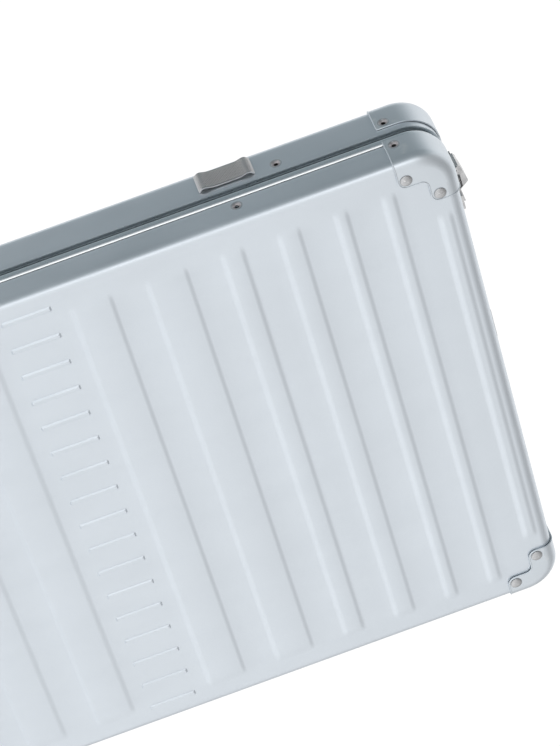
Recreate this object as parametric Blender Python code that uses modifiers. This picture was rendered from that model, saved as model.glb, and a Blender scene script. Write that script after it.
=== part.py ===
"""Slim aluminium trolley case, standing upright: +Z up, the lid's face towards -Y, the opening side at -X.

Every solid is modelled in millimetres in the case's own frame, where X = 0 and Y = 0 are the middle of the
case and Z = 0 is the floor, and is scaled to metres as it is made. An empty carries them all, and puts the
middle of the whole object's box over the origin.
"""

import math

import bmesh
import bpy
from mathutils import Matrix, Vector

MM = 0.001

# The case, in millimetres
WIDTH, DEPTH, HEIGHT = 506.0, 79.0, 711.0
CLEARANCE = 12.0  # the case's underside over the floor
CORNER_RADIUS = 30.0
EDGE_RADIUS = 9.5
SHEET = 1.5
GAP = 0.3
CORNER_STEPS = 6
EDGE_STEPS = 3
BEYOND = 20.0  # how far a cutter runs past what it cuts

# Where the two halves meet, along Y
LID_SHELL_RIM = -11.3
LID_FRAME_RIM = -2.1
CASE_SHELL_RIM = 2.6
FRAME_INSIDE = 6.0  # how far the case's frame reaches in from its side
LID_FRAME_INSIDE = 4.0
LID_WALL_END, CASE_WALL_END = -19.0, 8.0
SHOULDER_INSET, SHOULDER_Y = 2.8, (1.6, 3.2)
TONGUE_INSET, TONGUE_Y = 4.3, (-6.0, 1.8)
SEAL_INSET, SEAL_Y = 2.9, (-0.2, 1.3)

# Stamped ribs, each with the width that it has from the middle of the face outwards
RIB_START = 35.7
RIB_WIDTHS = (32.8, 32.8, 17.2, 17.2, 10.0, 10.0, 10.0)
RIB_GAP = 29.8
RIB_RISE = 1.3
RIB_END = 22.0  # from the case's side to the end of a rib
OUTER_RIB_END = 60.0  # the outermost rib stops short of the corner plates
DASH_COUNT, DASH_PITCH, DASH_FIRST = 17, 29.0, 18.3
DASH_LENGTH, DASH_WIDTH, DASH_RISE = 39.0, 3.6, 1.2
RIB_SLOPE, DASH_SLOPE = 2.0, 1.0  # how far a stamping's top is in from its foot

# Corner plates
PLATE_REACH = 46.4
PLATE_LOBE = 23.4
PLATE_SKIN = 1.2
PLATE_OUTER_TURN, PLATE_INNER_TURN = 6.5, 6.0  # radii of the lobes' corners
RIVET_NEAR, RIVET_FAR = 16.5, 40.0
RIVET_RADIUS, RIVET_RISE = 5.1, 1.5
LID_PLATE_RIM, CASE_PLATE_RIM = -7.8, 8.9

# Linings, and what lies on them
LID_LINING_OUTER, LID_LINING_INNER = 6.3, 7.8  # in from the case's outline
LID_LINING_FLOOR, LID_LINING_SHEET = -37.7, 1.5
LID_LINING_RIM = -1.2
LINING_MIDDLE_Z, LINING_WIDTH, LINING_HEIGHT = 363.0, 483.6, 642.0
LINING_FLOOR, LINING_TURN = 23.3, 5.0
LINING_COVER_Y = (1.0, 2.5)
LINING_COVER_INSET = 9.5  # clear of the latch keepers
POCKET_SIZE, POCKET_Y, POCKET_DROP = (380.0, 300.0), (-35.9, -32.9), 60.0
STRAP_X, STRAP_Y, STRAP_WIDTH = (29.0, 236.0), (20.3, 21.5), 25.0
BUCKLE_X, BUCKLE_BACK = 14.3, 21.5
PLUG_SIZE, PLUG_FRONT = (28.0, 30.0), 14.5
SOCKET_SIZE, SOCKET_FRONT = (28.0, 34.0), 13.5

# Hinges on the +X side
HINGE_LENGTH, HINGE_SPREAD = 80.0, 210.0
HINGE_OUT, HINGE_Y = 3.8, 1.05
KNUCKLE_RADIUS, HINGE_BORE, HINGE_PIN = 3.4, 1.6, 1.3
KNUCKLES = 5
KNUCKLE_GAP = 0.3
LEAF_Y = (3.75, 22.95)  # a leaf's near and far edge from the hinge's axis
TAB_Y = (1.0, 5.0)
PIN_HEAD = 2.6

# Slide latches on the -X side
LATCH_FROM_END = 171.4
LATCH_LENGTH = 47.2
LATCH_Y = (9.6, 29.9)
LATCH_UNDERSIDE = 0.6  # the slider runs just clear of the case's side
LATCH_TRAVEL = 7.0
LATCH_RISE = 4.3
LEG_Y, LEG_HALF = (13.5, 17.5), 2.5
SLOT_CLEARANCE = 0.7
KEEPER_HALF = 8.0
KEEPER_ARM_Y, KEEPER_ARM_X = (-9.0, 21.0), (7.0, 9.0)
KEEPER_FOOT_Y, KEEPER_FOOT_X = (-18.0, -7.5), (4.3, 9.0)
KEEPER_NOTCH_Y, KEEPER_NOTCH_BELOW = (13.1, 17.9), 2.9

# Clamp on the top side
CLAMP_PIVOT_X, CLAMP_PIVOT_RISE = -187.2, 5.6
CLAMP_Y = (11.3, 28.2)
CLAMP_BASE_X, CLAMP_BASE_Y = (-192.6, -150.0), (8.6, 30.9)
EAR_X, EAR_WIDTH, EAR_RISE = (-190.4, -184.0), 2.0, 8.2
CLAMP_BARREL, CLAMP_HOLE, CLAMP_PIN = 2.8, 1.7, 1.4
TOOTH_X, TOOTH_Y, TOOTH_RISE = (-171.5, -168.0), (16.5, 21.5), (2.2, 12.0)
STRIKER_X, STRIKER_SHEET = (-176.0, -162.0), 1.3
STRIKER_Y, STRIKER_RISER_Y = (-19.0, 24.5), (-10.0, -8.5)
STRIKER_FOOT_RISE, STRIKER_RISE = 1.5, 4.5
WINDOW_X, WINDOW_Y = (-173.0, -166.5), (15.0, 22.5)

# Wheels and feet
WHEEL_X, WHEEL_Y = 175.0, 28.5
WHEEL_RADIUS, WHEEL_WIDTH = 17.0, 17.0
HUB_RADIUS, AXLE_RADIUS = 12.2, 2.0
AXLE_CLEARANCE = 0.3
WELL_CLEARANCE, WELL_WIDTH = 1.6, 21.0
HOUSING_HALF, HOUSING_Y, HOUSING_Z = 15.5, (8.4, 41.0), (6.0, 39.0)
FOOT_SIZE, FOOT_Y = (36.0, 19.0), -30.0

# Pull handle
TUBE_X, TUBE_Y = 92.0, 30.0
OUTER_TUBE, MIDDLE_TUBE, INNER_TUBE = (16.0, 12.0), (13.4, 9.4), (11.0, 7.0)
TUBE_WALL = 0.9
TUBE_FOOT = (90.0, 110.0, 130.0)  # the lower end of the outer, middle and inner tubes
TUBE_HEAD = (28.3, 20.5, 7.8)  # the upper end of each, down from the case's top
COLLAR_SIZE, COLLAR_DROP = (15.5, 11.5), (24.5, 20.3)
GRIP_SIZE, GRIP_RISE = (206.8, 13.8, 15.0), 7.5
BUTTON_SIZE, BUTTON_Z = (32.0, 9.0), (3.0, 7.9)
BUTTON_WELL_MARGIN, BUTTON_WELL_FLOOR = (0.4, 0.3), -1.0
TRAY_X, TRAY_FRONT, TRAY_Z = 108.0, 20.5, (-28.0, 1.5)
TRAY_HOLLOW_X, TRAY_HOLLOW_Y, TRAY_FLOOR = 104.2, (22.4, 37.4), -25.0

# Carry handle
CARRY_LEG_X = 84.0
CARRY_Y = (7.8, 19.2)
CARRY_END = 6.0  # from a leg's middle to the end of the bar
CARRY_BAR_Z = (2.0, 5.3)
LEG_WIDTH, STOP_WIDTH = 6.0, 9.0
LEG_FOOT, STOP_Z = -36.0, (-38.0, -35.0)
SLEEVE_WIDTH, SLEEVE_HOLE, SLEEVE_Z = 11.0, 6.8, (-14.0, 1.0)
MOUNT_PLATE, MOUNT_RISE = (18.0, 12.2), 1.7

BOTTOM = CLEARANCE
TOP = CLEARANCE + HEIGHT
MIDDLE = CLEARANCE + HEIGHT / 2
SIDE = WIDTH / 2
FACE = DEPTH / 2

# The hinges stand out further than the latches, and the wheels further than the front rivets
HINGE_RISE = HINGE_OUT + KNUCKLE_RADIUS
FRONT_RISE = GAP + PLATE_SKIN + RIVET_RISE
BACK_RISE = WHEEL_Y + WHEEL_RADIUS - FACE
FRAME_SHIFT = ((LATCH_RISE - HINGE_RISE) / 2, (FRONT_RISE - BACK_RISE) / 2, 0.0)

# Each axis of extrusion, with the turn that carries local X, Y and Z to the case's frame
TURNS = {
    "X": Matrix(((0, 0, 1), (1, 0, 0), (0, 1, 0))).to_4x4(),
    "Y": Matrix(((1, 0, 0), (0, 0, -1), (0, 1, 0))).to_4x4(),
    "Z": Matrix.Identity(4),
}

PAINT = {
    "sheet": ((0.60, 0.64, 0.68, 1.0), 0.38, 0.85),
    "frame": ((0.48, 0.53, 0.56, 1.0), 0.32, 0.90),
    "bright": ((0.62, 0.62, 0.63, 1.0), 0.28, 1.0),
    "knurled": ((0.36, 0.37, 0.38, 1.0), 0.42, 1.0),
    "seal": ((0.05, 0.08, 0.10, 1.0), 0.75, 0.0),
    "plastic": ((0.06, 0.065, 0.07, 1.0), 0.45, 0.0),
    "rubber": ((0.025, 0.025, 0.027, 1.0), 0.85, 0.0),
    "lining": ((0.10, 0.12, 0.15, 1.0), 0.90, 0.0),
    "webbing": ((0.03, 0.035, 0.04, 1.0), 0.80, 0.0),
}


# Outlines


def rectangle(low_a, low_b, high_a, high_b):
    return [(low_a, low_b), (high_a, low_b), (high_a, high_b), (low_a, high_b)]


def rounded(corners, radii, steps=4):
    """The outline through these corners, each turned with its own radius."""
    points = []
    count = len(corners)
    for index, corner in enumerate(corners):
        radius = radii[index]
        here = Vector(corner)
        if radius <= 0:
            points.append(tuple(here))
            continue
        arriving = (here - Vector(corners[index - 1])).normalized()
        leaving = (Vector(corners[(index + 1) % count]) - here).normalized()
        turn = arriving.angle_signed(leaving) * -1
        tangent = radius * math.tan(abs(turn) / 2)
        side = math.copysign(1, turn)
        centre = here - arriving * tangent + Vector((-arriving.y, arriving.x)) * radius * side
        spoke = here - arriving * tangent - centre
        for step in range(steps + 1):
            points.append(tuple(centre + Matrix.Rotation(turn * step / steps, 2) @ spoke))
    return points


def rounded_rectangle(centre, size, radius, steps=4):
    low_a, low_b = centre[0] - size[0] / 2, centre[1] - size[1] / 2
    return rounded(rectangle(low_a, low_b, low_a + size[0], low_b + size[1]), [radius] * 4, steps)


def case_outline(inset):
    """The case's outline in X and Z, moved in by this much."""
    size = (WIDTH - 2 * inset, HEIGHT - 2 * inset)
    return rounded_rectangle((0, MIDDLE), size, CORNER_RADIUS - inset, CORNER_STEPS)


# Meshes


def temporary_object(data):
    made = bpy.data.objects.new("temporary", data)
    bpy.context.scene.collection.objects.link(made)
    return made


def evaluated_mesh(source):
    graph = bpy.context.evaluated_depsgraph_get()
    return bpy.data.meshes.new_from_object(source.evaluated_get(graph))


def tidied(mesh):
    """The mesh with its points welded, its flat faces joined and its normals facing out."""
    shape = bmesh.new()
    shape.from_mesh(mesh)
    bmesh.ops.remove_doubles(shape, verts=shape.verts, dist=1e-6)
    bmesh.ops.dissolve_limit(shape, angle_limit=math.radians(0.5), verts=shape.verts, edges=shape.edges)
    bmesh.ops.recalc_face_normals(shape, faces=shape.faces)
    shape.to_mesh(mesh)
    shape.free()
    return mesh


def extruded(loops, low, high, axis):
    """A prism on these outlines, the inner ones holes, from low to high along the axis."""
    curve = bpy.data.curves.new("outline", "CURVE")
    curve.dimensions = "2D"
    curve.fill_mode = "BOTH"
    curve.extrude = (high - low) / 2 * MM
    for loop in loops:
        spline = curve.splines.new("POLY")
        spline.points.add(len(loop) - 1)
        for point, (a, b) in zip(spline.points, loop):
            point.co = (a * MM, b * MM, 0, 1)
        spline.use_cyclic_u = True
    source = temporary_object(curve)
    mesh = evaluated_mesh(source)
    bpy.data.objects.remove(source)
    bpy.data.curves.remove(curve)
    along = {"X": Vector((1, 0, 0)), "Y": Vector((0, 1, 0)), "Z": Vector((0, 0, 1))}[axis]
    mesh.transform(Matrix.Translation(along * (low + high) / 2 * MM) @ TURNS[axis])
    return tidied(mesh)


def block(low, high, narrowing=(0, 0), axis=2, towards=1):
    """A box between two corners. Its end on one side of the axis may be narrower on the other two."""
    shape = bmesh.new()
    bmesh.ops.create_cube(shape, size=1)
    low, high = Vector(low), Vector(high)
    others = [index for index in range(3) if index != axis]
    for vertex in shape.verts:
        narrow = vertex.co[axis] * towards > 0
        for index in range(3):
            size = high[index] - low[index]
            if narrow and index in others:
                size -= 2 * narrowing[others.index(index)]
            vertex.co[index] = ((low[index] + high[index]) / 2 + vertex.co[index] * size) * MM
    mesh = bpy.data.meshes.new("block")
    shape.to_mesh(mesh)
    shape.free()
    return mesh


def cylinder(centre, radius, length, axis, sides=20):
    shape = bmesh.new()
    bmesh.ops.create_cone(
        shape,
        cap_ends=True,
        segments=sides,
        radius1=radius * MM,
        radius2=radius * MM,
        depth=length * MM,
        matrix=Matrix.Translation(Vector(centre) * MM) @ TURNS[axis],
    )
    bmesh.ops.recalc_face_normals(shape, faces=shape.faces)
    mesh = bpy.data.meshes.new("cylinder")
    shape.to_mesh(mesh)
    shape.free()
    return mesh


def dome(centre, radius, rise):
    """A flattened ball whose halves stand out along Y."""
    shape = bmesh.new()
    flatten = Matrix.Diagonal((radius * MM, rise * MM, radius * MM, 1))
    place = Matrix.Translation(Vector(centre) * MM) @ flatten @ TURNS["Y"]
    bmesh.ops.create_uvsphere(shape, u_segments=12, v_segments=6, radius=1, matrix=place)
    bmesh.ops.recalc_face_normals(shape, faces=shape.faces)
    mesh = bpy.data.meshes.new("dome")
    shape.to_mesh(mesh)
    shape.free()
    return mesh


def turned(profile, centre, axis, steps=24):
    """A profile of (radius, along) turned about the axis, listed down its outer side."""
    mesh = bpy.data.meshes.new("profile")
    count = len(profile)
    points = [(radius * MM, 0, along * MM) for radius, along in profile]
    mesh.from_pydata(points, [(index, (index + 1) % count) for index in range(count)], [])
    source = temporary_object(mesh)
    screw = source.modifiers.new("turn", "SCREW")
    screw.steps = steps
    screw.render_steps = steps
    screw.use_merge_vertices = True
    screw.merge_threshold = 1e-6
    result = evaluated_mesh(source)
    bpy.data.objects.remove(source)
    bpy.data.meshes.remove(mesh)
    result.transform(Matrix.Translation(Vector(centre) * MM) @ TURNS[axis])
    shape = bmesh.new()
    shape.from_mesh(result)
    bmesh.ops.recalc_face_normals(shape, faces=shape.faces)
    shape.to_mesh(result)
    shape.free()
    return result


def combined(base, *steps):
    """The base after a row of Booleans, each an (operation, mesh)."""
    target = temporary_object(base)
    operands = []
    for operation, mesh in steps:
        operand = temporary_object(mesh)
        operands.append(operand)
        boolean = target.modifiers.new(operation, "BOOLEAN")
        boolean.operation = operation
        boolean.object = operand
    result = evaluated_mesh(target)
    for temporary in (target, *operands):
        bpy.data.objects.remove(temporary)
    return tidied(result)


def joined(first, *others):
    return combined(first, *(("UNION", mesh) for mesh in others))


def cut(base, *cutters):
    return combined(base, *(("DIFFERENCE", mesh) for mesh in cutters))


def gathered(meshes):
    """Separate bodies held in one mesh, for use as one operand."""
    shape = bmesh.new()
    for mesh in meshes:
        shape.from_mesh(mesh)
    result = bpy.data.meshes.new("gathered")
    shape.to_mesh(result)
    shape.free()
    return result


def softened(mesh, width, segments=2, angle=40):
    """The mesh with every edge sharper than the angle bevelled."""
    source = temporary_object(mesh)
    bevel = source.modifiers.new("edges", "BEVEL")
    bevel.width = width * MM
    bevel.segments = segments
    bevel.limit_method = "ANGLE"
    bevel.angle_limit = math.radians(angle)
    result = evaluated_mesh(source)
    bpy.data.objects.remove(source)
    return result


# Objects


def make_material(name):
    colour, roughness, metallic = PAINT[name]
    material = bpy.data.materials.new(name)
    material.use_nodes = True
    shader = material.node_tree.nodes["Principled BSDF"]
    shader.inputs["Base Color"].default_value = colour
    shader.inputs["Roughness"].default_value = roughness
    shader.inputs["Metallic"].default_value = metallic
    material.diffuse_color = colour
    return material


def add_part(name, mesh, paint, pivot=(0, 0, 0)):
    """A sub-part whose origin is its pivot, a point of the case's frame."""
    part = bpy.data.objects.new(name, mesh)
    mesh.name = name
    mesh.transform(Matrix.Translation(-Vector(pivot) * MM))
    mesh.materials.clear()
    mesh.materials.append(make_material(paint))
    mesh.materials[0].name = f"{name}_{paint}"
    mesh.shade_smooth()
    mesh.set_sharp_from_angle(angle=math.radians(35))
    part.location = Vector(pivot) * MM
    part.parent = case_frame
    case_parts.objects.link(part)
    return part


# Shells and frames


def shell(face, rim):
    """One half's drawn sheet: a tray with a rounded edge round its face and ribs stamped outwards."""
    outward = math.copysign(1, face)
    mesh = extruded([case_outline(0)], min(face, rim), max(face, rim), "Y")
    shape = bmesh.new()
    shape.from_mesh(mesh)
    rim_faces = [f for f in shape.faces if all(abs(v.co.y - rim * MM) < 1e-6 for v in f.verts)]
    bmesh.ops.delete(shape, geom=rim_faces, context="FACES_ONLY")
    shape.to_mesh(mesh)
    shape.free()
    source = temporary_object(mesh)
    bevel = source.modifiers.new("edge", "BEVEL")
    bevel.width = EDGE_RADIUS * MM
    bevel.segments = EDGE_STEPS
    bevel.limit_method = "ANGLE"
    bevel.angle_limit = math.radians(40)
    thickness = source.modifiers.new("sheet", "SOLIDIFY")
    thickness.thickness = SHEET * MM
    thickness.offset = -1
    thickness.use_even_offset = True
    tray = evaluated_mesh(source)
    bpy.data.objects.remove(source)
    return joined(tray, stampings(face, outward))


def stampings(face, outward):
    """The ribs across the face, and the ladder of dashes up its middle."""
    root = face - outward * SHEET / 2
    raised = []

    def stamp(low, high, rise, taper):
        ends = sorted((root, face + outward * rise))
        low = (low[0], ends[0], low[1])
        high = (high[0], ends[1], high[1])
        raised.append(block(low, high, (taper, taper), 1, outward))

    offset = RIB_START
    for index, width in enumerate(RIB_WIDTHS):
        end = SIDE - (OUTER_RIB_END if index == len(RIB_WIDTHS) - 1 else RIB_END)
        for low in (MIDDLE + offset, MIDDLE - offset - width):
            stamp((-end, low), (end, low + width), RIB_RISE, RIB_SLOPE)
        offset += width + RIB_GAP
    for index in range(DASH_COUNT):
        x = -SIDE + DASH_FIRST + index * DASH_PITCH
        low = (x - DASH_WIDTH / 2, MIDDLE - DASH_LENGTH / 2)
        stamp(low, (low[0] + DASH_WIDTH, low[1] + DASH_LENGTH), DASH_RISE, DASH_SLOPE)
    return gathered(raised)


def ring(outside, inside, low, high):
    return extruded([case_outline(outside), case_outline(inside)], low, high, "Y")


def make_shells():
    add_part("front_shell", shell(-FACE, LID_SHELL_RIM), "sheet")
    add_part("back_shell", cut(shell(FACE, CASE_SHELL_RIM), gathered(back_openings())), "sheet")


def back_openings():
    """Cutters for the wheel housings, the latches' slots, the sleeves and the pull handle's tray."""
    back = FACE + BEYOND
    openings = []
    for side in (-1, 1):
        x, half = side * WHEEL_X, HOUSING_HALF + GAP
        openings.append(block((x - half, HOUSING_Y[0] - GAP, 0), (x + half, back, HOUSING_Z[1] + GAP)))
        openings.append(latch_slot(side))
        x, y, half = side * CARRY_LEG_X, sum(CARRY_Y) / 2, SLEEVE_WIDTH / 2 + GAP
        openings.append(block((x - half, y - half, TOP - BEYOND / 2), (x + half, y + half, TOP + BEYOND)))
    half, low = TRAY_X + GAP, TOP + TRAY_Z[0] - GAP
    openings.append(block((-half, TRAY_FRONT - GAP, low), (half, back, TOP + BEYOND)))
    return openings


def make_frames():
    flange = ring(0, LID_FRAME_INSIDE, LID_SHELL_RIM + GAP, LID_FRAME_RIM)
    wall = ring(SHEET + GAP, LID_FRAME_INSIDE, LID_WALL_END, LID_SHELL_RIM + 2 * GAP)
    add_part("front_frame", joined(flange, wall), "frame")
    wall = ring(SHEET + GAP, FRAME_INSIDE, CASE_SHELL_RIM + GAP, CASE_WALL_END)
    shoulder = ring(SHOULDER_INSET, FRAME_INSIDE, *SHOULDER_Y)
    tongue = ring(TONGUE_INSET, FRAME_INSIDE, *TONGUE_Y)
    add_part("back_frame", joined(wall, shoulder, tongue), "frame")
    add_part("rim_seal", ring(SEAL_INSET, LID_FRAME_INSIDE, *SEAL_Y), "seal")


def case_body(offset):
    """The whole closed case as one block, moved out by this much."""
    body = extruded([case_outline(-offset)], -FACE - offset, FACE + offset, "Y")
    return softened(body, EDGE_RADIUS + offset, EDGE_STEPS)


def corner_plate(side, end, half):
    """A pressed plate round one corner of one half, with the heads of its two face rivets."""
    reach, lobe, beyond = PLATE_REACH, PLATE_LOBE, -BEYOND
    lobes = [(beyond, beyond), (reach, beyond), (reach, lobe), (lobe, lobe), (lobe, reach), (beyond, reach)]
    radii = [0, 0, PLATE_OUTER_TURN, PLATE_INNER_TURN, PLATE_OUTER_TURN, 0]

    def placed(a, b):
        return side * (SIDE - a), MIDDLE + end * (HEIGHT / 2 - b)

    outline = [placed(a, b) for a, b in rounded(lobes, radii, 3)]
    rim = LID_PLATE_RIM if half < 0 else CASE_PLATE_RIM
    ends = sorted((rim, half * (FACE + BEYOND)))
    skin = combined(
        extruded([outline], ends[0], ends[1], "Y"),
        ("INTERSECT", case_body(GAP + PLATE_SKIN)),
        ("DIFFERENCE", case_body(GAP)),
    )
    heads = []
    for a, b in ((RIVET_NEAR, RIVET_FAR), (RIVET_FAR, RIVET_NEAR)):
        x, z = placed(a, b)
        head = dome((x, half * (FACE + GAP + PLATE_SKIN), z), RIVET_RADIUS, RIVET_RISE)
        sunk = half * (FACE + GAP + PLATE_SKIN / 2)
        back = sorted((sunk, sunk - half * BEYOND))
        low = (x - BEYOND, back[0], z - BEYOND)
        heads.append(cut(head, block(low, (x + BEYOND, back[1], z + BEYOND))))
    return joined(skin, gathered(heads))


def make_corner_plates():
    for half, half_name in ((-1, "front"), (1, "back")):
        for end, end_name in ((-1, "lower"), (1, "upper")):
            for side, side_name in ((-1, "left"), (1, "right")):
                name = f"corner_plate_{half_name}_{end_name}_{side_name}"
                add_part(name, corner_plate(side, end, half), "sheet")


# Linings and what lies on them


def make_linings():
    floor = LID_LINING_FLOOR
    outer = softened(extruded([case_outline(LID_LINING_OUTER)], floor, LID_LINING_RIM, "Y"), 6.0)
    hollow = extruded([case_outline(LID_LINING_INNER)], floor + LID_LINING_SHEET, BEYOND, "Y")
    keepers = [block((-SIDE, -19.5, z - 12), (-242, 2, z + 12)) for z in latch_heights()]
    add_part("front_lining", cut(outer, softened(hollow, 5.0), gathered(keepers)), "lining")
    size, sheet = (LINING_WIDTH, LINING_HEIGHT), LID_LINING_SHEET
    outside = rounded_rectangle((0, LINING_MIDDLE_Z), size, LINING_TURN)
    inside_size = (size[0] - 2 * sheet, size[1] - 2 * sheet)
    inside = rounded_rectangle((0, LINING_MIDDLE_Z), inside_size, LINING_TURN - sheet)
    floor = LINING_FLOOR - sheet
    for name, end in (("bottom", -1), ("top", 1)):
        edge = LINING_MIDDLE_Z + end * inside_size[1] / 2
        low, high = sorted((edge, edge - end * HEIGHT))
        cover = extruded([case_outline(LINING_COVER_INSET)], *LINING_COVER_Y, "Y")
        between = block((-SIDE, 0, low), (SIDE, BEYOND, high))
        add_part(f"back_lining_border_{name}", cut(cover, between), "lining")
    walls = extruded([outside], LINING_COVER_Y[1] + GAP, floor - GAP, "Y")
    hollow = extruded([inside], -BEYOND, LINING_FLOOR, "Y")
    add_part("back_lining_walls", cut(walls, hollow), "lining")
    add_part("back_lining_floor", extruded([outside], floor, LINING_FLOOR, "Y"), "lining")
    pocket = rounded_rectangle((0, MIDDLE - POCKET_DROP), POCKET_SIZE, 12)
    add_part("lid_pocket", extruded([pocket], *POCKET_Y, "Y"), "lining")


def make_straps():
    half = STRAP_WIDTH / 2
    for side, name in ((-1, "left"), (1, "right")):
        ends = sorted((side * STRAP_X[0], side * STRAP_X[1]))
        strap = block((ends[0], STRAP_Y[0], MIDDLE - half), (ends[1], STRAP_Y[1], MIDDLE + half))
        add_part(f"strap_{name}", strap, "webbing")
    plug = extruded([rounded_rectangle((-BUCKLE_X, MIDDLE), PLUG_SIZE, 4)], PLUG_FRONT, BUCKLE_BACK, "Y")
    add_part("buckle_plug", softened(plug, 1.2), "plastic")
    outline = rounded_rectangle((BUCKLE_X, MIDDLE), SOCKET_SIZE, 6)
    socket = extruded([outline], SOCKET_FRONT, BUCKLE_BACK, "Y")
    add_part("buckle_socket", softened(socket, 1.5), "plastic")


# Hinges


def hinge_leaf(centre, half):
    """A leaf for the case (half 1, three knuckles) or the lid (half -1, two)."""
    axis_x = SIDE + HINGE_OUT
    low, pitch = centre - HINGE_LENGTH / 2, HINGE_LENGTH / KNUCKLES
    ends = sorted(HINGE_Y + half * along for along in LEAF_Y)
    plate_side = (SIDE + GAP, SIDE + GAP + SHEET)
    leaf = block((plate_side[0], ends[0], low), (plate_side[1], ends[1], low + HINGE_LENGTH))
    barrels = []
    for index in range(KNUCKLES):
        if (index % 2 == 0) != (half > 0):
            continue
        bottom, top = low + index * pitch + KNUCKLE_GAP, low + (index + 1) * pitch - KNUCKLE_GAP
        middle, length = (bottom + top) / 2, top - bottom
        tab = sorted(HINGE_Y + half * along for along in TAB_Y)
        barrels.append(cylinder((axis_x, HINGE_Y, middle), KNUCKLE_RADIUS, length, "Z", 16))
        barrels.append(block((plate_side[0], tab[0], bottom), (plate_side[1], tab[1], top)))
    bore = cylinder((axis_x, HINGE_Y, centre), HINGE_BORE, HINGE_LENGTH + BEYOND, "Z", 16)
    return cut(joined(leaf, *barrels), bore)


def hinge_pin(centre):
    half = HINGE_LENGTH / 2
    neck, tip = half + KNUCKLE_GAP, half + 1.5
    profile = [(0, tip), (PIN_HEAD, tip), (PIN_HEAD, neck), (HINGE_PIN, neck)]
    profile += [(HINGE_PIN, -neck), (PIN_HEAD, -neck), (PIN_HEAD, -tip), (0, -tip)]
    return turned(profile, (SIDE + HINGE_OUT, HINGE_Y, centre), "Z", 16)


def make_hinges():
    for side, name in ((-1, "lower"), (1, "upper")):
        centre = MIDDLE + side * HINGE_SPREAD
        pivot = (SIDE + HINGE_OUT, HINGE_Y, centre)
        add_part(f"hinge_leaf_case_{name}", hinge_leaf(centre, 1), "bright", pivot)
        add_part(f"hinge_leaf_lid_{name}", hinge_leaf(centre, -1), "bright", pivot)
        add_part(f"hinge_pin_{name}", hinge_pin(centre), "bright", pivot)


# Slide latches


def latch_heights():
    return BOTTOM + LATCH_FROM_END, TOP - LATCH_FROM_END


def latch_slot(end):
    """The slot that the slider's leg runs in."""
    z = latch_heights()[(end + 1) // 2]
    half, low, high = LEG_HALF + SLOT_CLEARANCE, LEG_Y[0] - 0.5, LEG_Y[1] + 0.5
    return block((-SIDE - BEYOND, low, z - half), (-SIDE + BEYOND / 4, high, z + LATCH_TRAVEL + half))


def latch_slider(z):
    """A saddle with a hump at each end for the thumb, and a leg that reaches the keeper."""
    end = LATCH_LENGTH / 2
    half = [(-end, LATCH_UNDERSIDE), (-end, 2.2), (3.6 - end, 4.0)]
    half += [(5.5 - end, LATCH_RISE), (8.1 - end, 4.0), (12.1 - end, 2.6)]
    saddle = half + [(-along, rise) for along, rise in reversed(half)]
    outline = [(-SIDE - rise, z + along) for along, rise in saddle]
    leg = block((-SIDE - 1.8, LEG_Y[0], z - LEG_HALF), (-SIDE + 10.0, LEG_Y[1], z + LEG_HALF))
    return joined(extruded([outline], LATCH_Y[0], LATCH_Y[1], "Y"), leg)


def latch_keeper(z):
    """The lid's hook: a foot on the lid's frame, and an arm whose notch the slider's leg fills."""

    def flat(across, along, top):
        low = (across[0] - SIDE, along[0], z - KEEPER_HALF)
        return block(low, (across[1] - SIDE, along[1], z + top))

    foot = flat(KEEPER_FOOT_X, KEEPER_FOOT_Y, KEEPER_HALF)
    arm = flat(KEEPER_ARM_X, KEEPER_ARM_Y, LEG_HALF + SLOT_CLEARANCE)
    notch_low = (-SIDE, KEEPER_NOTCH_Y[0], z - KEEPER_NOTCH_BELOW)
    notch = block(notch_low, (-SIDE + BEYOND, KEEPER_NOTCH_Y[1], z + BEYOND))
    return cut(joined(foot, arm), notch)


def make_latches():
    for z, name in zip(latch_heights(), ("lower", "upper")):
        add_part(f"latch_slider_{name}", latch_slider(z), "knurled", (-SIDE, 15.5, z))
        add_part(f"latch_keeper_{name}", latch_keeper(z), "bright")


# Top clamp


def clamp_lever():
    """A bent sheet lever: a long slope out to a ridge, a steep return and a short tail to lift it by."""
    outside = [(-189.9, 6.6), (-189.6, 9.6), (-187.5, 11.2), (-172.2, 14.7), (-170.6, 14.2)]
    outside += [(-164.9, 7.2), (-151.6, 8.9)]
    inside = [(-151.8, 7.6), (-164.9, 5.7), (-167.4, 9.4), (-183.4, 9.2), (-184.6, 5.2)]
    outline = [(x, TOP + rise) for x, rise in outside + inside]
    sheet = extruded([outline], CLAMP_Y[0], CLAMP_Y[1], "Y")
    middle = sum(CLAMP_Y) / 2
    pivot = (CLAMP_PIVOT_X, middle, TOP + CLAMP_PIVOT_RISE)
    barrel = cylinder(pivot, CLAMP_BARREL, CLAMP_Y[1] - CLAMP_Y[0], "Y", 16)
    low = (TOOTH_X[0], TOOTH_Y[0], TOP + TOOTH_RISE[0])
    tooth = block(low, (TOOTH_X[1], TOOTH_Y[1], TOP + TOOTH_RISE[1]))
    return cut(joined(sheet, barrel, tooth), cylinder(pivot, CLAMP_HOLE, 2 * BEYOND, "Y", 16))


def make_clamp():
    pivot = (CLAMP_PIVOT_X, sum(CLAMP_Y) / 2, TOP + CLAMP_PIVOT_RISE)
    near, far = CLAMP_BASE_Y
    floor = block((CLAMP_BASE_X[0], near, TOP + GAP), (CLAMP_BASE_X[1], far, TOP + SHEET))
    ears = []
    for low in (near, far - EAR_WIDTH):
        ears.append(block((EAR_X[0], low, TOP + 1.0), (EAR_X[1], low + EAR_WIDTH, TOP + EAR_RISE)))
    hole = cylinder(pivot, CLAMP_HOLE, 2 * BEYOND, "Y", 16)
    add_part("clamp_base", cut(joined(floor, *ears), hole), "bright")
    add_part("clamp_pin", cylinder(pivot, CLAMP_PIN, far - near - 0.5, "Y", 16), "bright", pivot)
    add_part("clamp_lever", clamp_lever(), "knurled", pivot)
    add_part("clamp_striker", clamp_striker(), "bright")


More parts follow.
